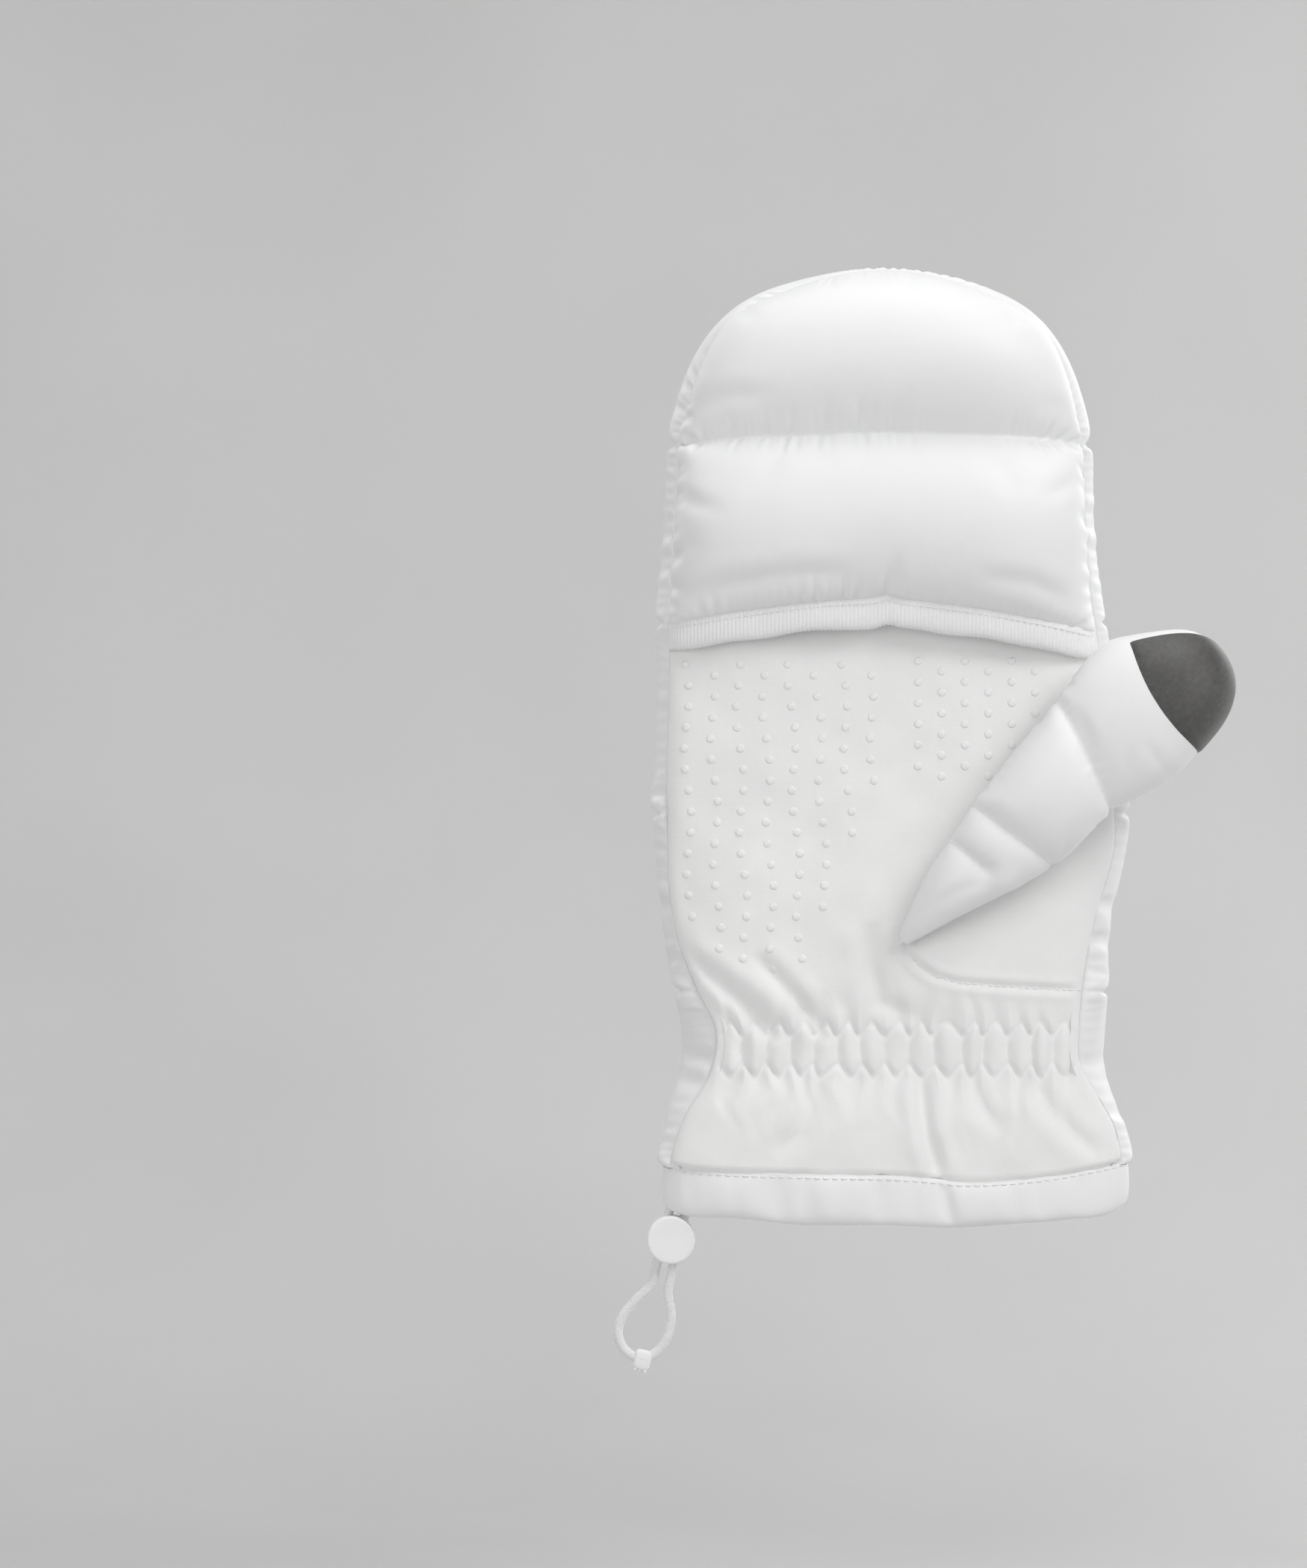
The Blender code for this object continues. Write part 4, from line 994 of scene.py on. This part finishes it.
def make_hem():
    count = 420
    profile = ((0.2, 1.02, -1.2), (0.0, 1.0, -0.6), (0.0, 0.96, 0.2), (0.0, 0.9, 0.7), (0.0, 0.75, 1.1),
               (0.0, 0.55, 1.25), (0.0, 0.35, 1.15), (0.0, 0.18, 0.85), (0.2, 0.07, 0.3), (0.8, 0.01, -0.2),
               (1.8, -0.02, -0.4), (2.8, 0.01, -0.4), (3.7, 0.08, -0.2), (4.2, 0.2, 0.0), (4.4, 0.5, 0.0),
               (4.4, 1.0, 0.0), (4.2, 1.3, 0.0))
    grid = np.array([hem_ring(count, *row) for row in profile])
    flip = faces_in(grid, grid.reshape(-1, 3).mean(axis=0), slice(2, 7))
    obj = cloth("hem_band", grid, "woven_shell", closed=True, flip=flip)
    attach(obj, "hand")
    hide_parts("hem_channel", "drawcord_in_hem")
    seam = hem_ring(900, 0.0, 0.93, 0.55)
    out = np.stack([seam[:, 0] * 0.01, np.sign(seam[:, 1]), np.zeros(len(seam))], axis=1)
    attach(sew("hem_stitches", stitch_parts(seam, 2.6, out)), "hand")


# Linings: fleece tubes inside the hand and inside the cap

LINING_COLS = 120


def lining_ring(z, wall, back, palm):
    """One ring of fleece: wall inside the outline, and back and palm from the middle plane."""
    size = float(np.clip((z - DOME_Z) / (267 - DOME_Z), 0, 1))
    size = (1 - size**DOME_POWER) ** (1 / DOME_POWER)
    angles = 2 * math.pi * np.arange(LINING_COLS) / LINING_COLS
    across, deep = np.cos(angles), np.sin(angles)
    wide = (float(half_width(z)) - wall) * size
    reach = np.where(deep > 0, back, palm) * size
    crumple = 1 + 0.05 * ripple(angles * 20, np.full(LINING_COLS, z), 22, 61)
    x = float(middle_x(z)) + wide * np.sign(across) * np.abs(across) ** 0.8
    x = np.where(z < 26, np.maximum(x, CHANNEL_WALL + 0.5), x)
    y = np.sign(deep) * np.abs(deep) ** 0.8 * reach * crumple
    return np.stack([x, y, np.full(LINING_COLS, z)], axis=1)


def make_linings():
    heights = np.concatenate([np.linspace(4, 20, 6), np.linspace(24, 174, 40)])
    grid = []
    for z in heights:
        open_up = 1 - step_up(z, 6, 24)
        palm = float(table(PALM_DEPTH, z)) - 4.4
        grid.append(lining_ring(z, 13.2 - 7.6 * open_up, 9.6 + 1.2 * open_up, palm + 0.4 * open_up))
    obj = cloth("hand_fleece", np.array(grid), "brushed_fleece", closed=True, subdivide=0)
    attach(obj, "hand")
    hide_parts("hand_lining")
    heights = np.concatenate([np.linspace(177, DOME_Z, 24), DOME_Z + 39.5 * np.sin(np.linspace(0.1, math.pi / 2, 14))])
    grid = []
    for z in heights:
        palm = 17.4 - 6.4 * float(step_up(z, 185, 228))
        grid.append(lining_ring(z, 13.2 - 8.0 * (1 - float(step_up(z, 177, 205))), 9.6, palm))
    obj = cloth("cap_fleece", np.array(grid), "brushed_fleece", closed=True, subdivide=0)
    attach(obj, "cap")
    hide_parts("cap_lining")


# The drawcord's free loop, its clip and the push-button lock

LOCK_CENTRE = (-65.6, -4.6)
TILT = math.radians(13)
STRAND, CORD = 2.4, 2.8
STRAND_PLACES = (-23.0, -16.0, -9.0, -3.0, 3.0, 9.0, 14.0)
LOOP_POINTS = ((-75.6, -22.2), (-79.6, -27.0), (-81.1, -32.0), (-79.2, -37.0), (-74.2, -39.7),
               (-69.2, -37.2), (-66.4, -32.4), (-65.6, -27.0), (-66.4, -21.6))


def along_lock(distance, side):
    """X and Z at a distance below the lock's middle, on the strand at one side of it, -1 or 1."""
    down, across = (-math.sin(TILT), -math.cos(TILT)), (math.cos(TILT), -math.sin(TILT))
    return (LOCK_CENTRE[0] + down[0] * distance + across[0] * side * STRAND,
            LOCK_CENTRE[1] + down[1] * distance + across[1] * side * STRAND)


def catmull(points, per_span):
    """A smooth curve through points."""
    padded = [points[0]] + list(points) + [points[-1]]
    line = []
    for a, b, c, d in zip(padded, padded[1:], padded[2:], padded[3:]):
        for k in range(per_span):
            t = k / per_span
            line.append(tuple(0.5 * (2 * q + (r - p) * t + (2 * p - 5 * q + 4 * r - s) * t * t
                                     + (3 * q - p - 3 * r + s) * t**3) for p, q, r, s in zip(a, b, c, d)))
    return line + [tuple(points[-1])]


def make_cord():
    down = [along_lock(distance, -1) for distance in STRAND_PLACES]
    up = [along_lock(distance, 1) for distance in STRAND_PLACES[::-1]]
    path = np.array([(x, 0.0, z) for x, z in catmull([*down, *LOOP_POINTS, *up], 4)])
    line = resample(path, 190)
    sides = 20
    ahead = np.gradient(line, axis=0)
    ahead /= np.linalg.norm(ahead, axis=1, keepdims=True)
    side = np.cross(ahead, (0, 1, 0))
    grid = np.empty((len(line), sides, 3))
    for k in range(sides):
        a = 2 * math.pi * k / sides
        grid[:, k] = line + CORD / 2 * (side * math.cos(a) + np.array((0, 1, 0)) * math.sin(a))
    obj = cloth("drawcord_braid", grid, "braided_cord", closed=True, subdivide=0, flip=faces_in(grid))
    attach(obj, "drawcord")
    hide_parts("drawcord_loop")
    clip = make_clip()
    make_lock()


def signed_power(value, power):
    return math.copysign(abs(value) ** power, value)


def soft_box(centre, half, power=4.0, rows=22, cols=40):
    """A box with rounded edges, as (points, faces): a superellipsoid swept between flat ends."""
    points = []
    for r in range(rows):
        t = math.pi * (r + 0.5) / rows - math.pi / 2
        level = signed_power(math.sin(t), 2 / power)
        size = max(math.cos(t), 0) ** (2 / power)
        for c in range(cols):
            a = 2 * math.pi * c / cols
            points.append((centre[0] + half[0] * size * signed_power(math.cos(a), 2 / power),
                           centre[1] + half[1] * size * signed_power(math.sin(a), 2 / power),
                           centre[2] + half[2] * level))
    ends = [tuple(range(cols))[::-1], tuple(range((rows - 1) * cols, rows * cols))]
    return points, ring_faces(rows, cols) + ends


def make_clip():
    """The crimped clip at the loop's end, with the teeth of its lower edge."""
    lean = math.radians(-14)
    centre_x, centre_z = -74.0, -40.0
    parts = [soft_box((0, 0, 0), (2.5, 2.2, 3.0))]
    parts += [soft_box((-1.4 + 1.4 * k, 0, -3.0), (0.5, 1.8, 0.7), 3.0, 10, 16) for k in range(3)]
    parts.append(soft_box((0, 0, 0.6), (2.62, 2.32, 0.35), 3.0, 10, 32))
    turned = []
    for points, faces in parts:
        turned.append(([(centre_x + x * math.cos(lean) - z * math.sin(lean), y,
                         centre_z + x * math.sin(lean) + z * math.cos(lean)) for x, y, z in points], faces))
    obj = join_parts("cord_clip", turned, "moulded_plastic")
    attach(obj, "drawcord")
    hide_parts("cord_end_clip")
    return obj


def lathe_part(rows, steps=96):
    """A part turned about the lock's axis, which runs along Y. rows are (radius, y), first and last on the axis."""
    points = []
    for radius, y in rows:
        for k in range(steps):
            a = 2 * math.pi * k / steps
            points.append((LOCK_CENTRE[0] + radius * math.cos(a), y, LOCK_CENTRE[1] + radius * math.sin(a)))
    return points, [(a, d, c, b) for a, b, c, d in ring_faces(len(rows), steps)]


def rounded(corners, steps=6):
    """Rows of a turned profile. A corner is (radius, y, rounding)."""
    rows = []
    for k, (r, y, soft) in enumerate(corners):
        if not soft:
            rows.append((r, y))
            continue
        here, before, after = np.array((r, y)), np.array(corners[k - 1][:2]), np.array(corners[k + 1][:2])
        a = here + (before - here) / np.linalg.norm(before - here) * soft
        b = here + (after - here) / np.linalg.norm(after - here) * soft
        for t in np.linspace(0, 1, steps):
            rows.append(tuple((1 - t) ** 2 * a + 2 * t * (1 - t) * here + t * t * b))
    return rows


def make_lock():
    shell = [(0.02, -5.75, 0), (4.0, -5.85, 0), (7.0, -6.0, 0.9), (7.0, 4.2, 0.7), (5.6, 4.2, 0.25), (5.6, -0.7, 0),
             (0.02, -0.7, 0)]
    button = [(0.02, 1.2, 0), (5.3, 1.2, 0), (5.3, 6.1, 0.8), (3.9, 6.15, 0), (3.6, 5.95, 0), (0.02, 6.2, 0)]
    for name, corners, node_name, body in (("lock_shell", shell, "lock_body", "lock"),
                                           ("lock_push_button", button, "lock_button", "button")):
        obj = join_parts(name, [lathe_part(rounded(corners))], "moulded_plastic")
        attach(obj, body)
        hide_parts(node_name)
    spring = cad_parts["lock_spring"]
    spring.data.materials.clear()
    spring.data.materials.append(SHADERS["spring_wire"])


# Stage, lights and camera

def make_stage():
    """A round sweep: floor, wide fillet and wall in one smooth surface."""
    floor, radius, fillet, top = -0.32, 2.6, 0.9, 2.6
    profile = [(0.001, floor)] + [(r, floor) for r in np.linspace(0.2, radius - fillet, 8)]
    profile += [(radius - fillet + fillet * math.sin(t), floor + fillet * (1 - math.cos(t)))
                for t in np.linspace(0, math.pi / 2, 16)[1:]]
    profile += [(radius, z) for z in np.linspace(floor + fillet, top, 6)[1:]]
    steps = 96
    angles = [2 * math.pi * k / steps for k in range(steps)]
    points = [(r * math.cos(a), r * math.sin(a), z) for r, z in profile for a in angles]
    mesh = bpy.data.meshes.new("sweep")
    mesh.from_pydata(points, [], ring_faces(len(profile), steps))
    mesh.shade_smooth()
    obj = bpy.data.objects.new("sweep", mesh)
    bpy.context.scene.collection.objects.link(obj)
    made = bpy.data.materials.new("sweep_paper")
    made.use_nodes = True
    tree = made.node_tree
    shader = tree.nodes["Principled BSDF"]
    shader.inputs["Roughness"].default_value = 0.9
    mixed_colour(tree, shader, noise(tree, 3.0, 2.0), (0.50, 0.505, 0.50), (0.53, 0.532, 0.53))
    mesh.materials.append(made)


def add_light(name, place, aim, size, power):
    data = bpy.data.lights.new(name, "AREA")
    data.shape = "RECTANGLE"
    data.size, data.size_y = size
    data.energy = power
    obj = bpy.data.objects.new(name, data)
    bpy.context.scene.collection.objects.link(obj)
    obj.location = place
    obj.rotation_euler = (Vector(aim) - Vector(place)).to_track_quat("-Z", "Y").to_euler()


def make_lights():
    middle = (0, 0, 0.13)
    add_light("key", (1.3, -1.3, 1.5), middle, (1.0, 1.0), 21.0)
    add_light("fill", (-0.9, -1.9, 0.35), middle, (1.5, 1.5), 13.0)
    add_light("sweep_glow", (1.5, 0.5, 0.1), (0.8, 2.5, -0.35), (1.2, 0.5), 30.0)
    add_light("overhead", (0, 0, 2.2), (0, 0, 0), (1.8, 1.8), 18.0)
    add_light("back_right", (1.2, 1.4, 0.9), middle, (1.0, 1.0), 8.5)
    add_light("back_left", (-1.3, 1.3, 1.1), middle, (1.0, 1.0), 6.0)
    world = bpy.data.worlds.new("room")
    bpy.context.scene.world = world
    world.use_nodes = True
    background = world.node_tree.nodes["Background"]
    background.inputs["Color"].default_value = (1, 1, 1, 1)
    background.inputs["Strength"].default_value = 0.38


def make_camera():
    """The view takes in 382 by 458 mm at the mitten, and has the mitten in its right half."""
    data = bpy.data.cameras.new("camera")
    distance, view_height = 1.65, 0.4583
    data.sensor_width = 36
    data.lens = data.sensor_width * distance / view_height
    data.clip_start, data.clip_end = 0.05, 20
    obj = bpy.data.objects.new("camera", data)
    obj.location = (VIEW_X * MM, -distance, VIEW_Z * MM)
    obj.rotation_euler = (math.pi / 2, 0, 0)
    bpy.context.scene.collection.objects.link(obj)
    bpy.context.scene.camera = obj


bpy.context.scene.view_settings.view_transform = "Standard"
make_shaders()
make_camera()
make_cord()
make_back()
make_palm()
make_flap()
make_thumb()
make_hem()
make_linings()
make_stage()
make_lights()
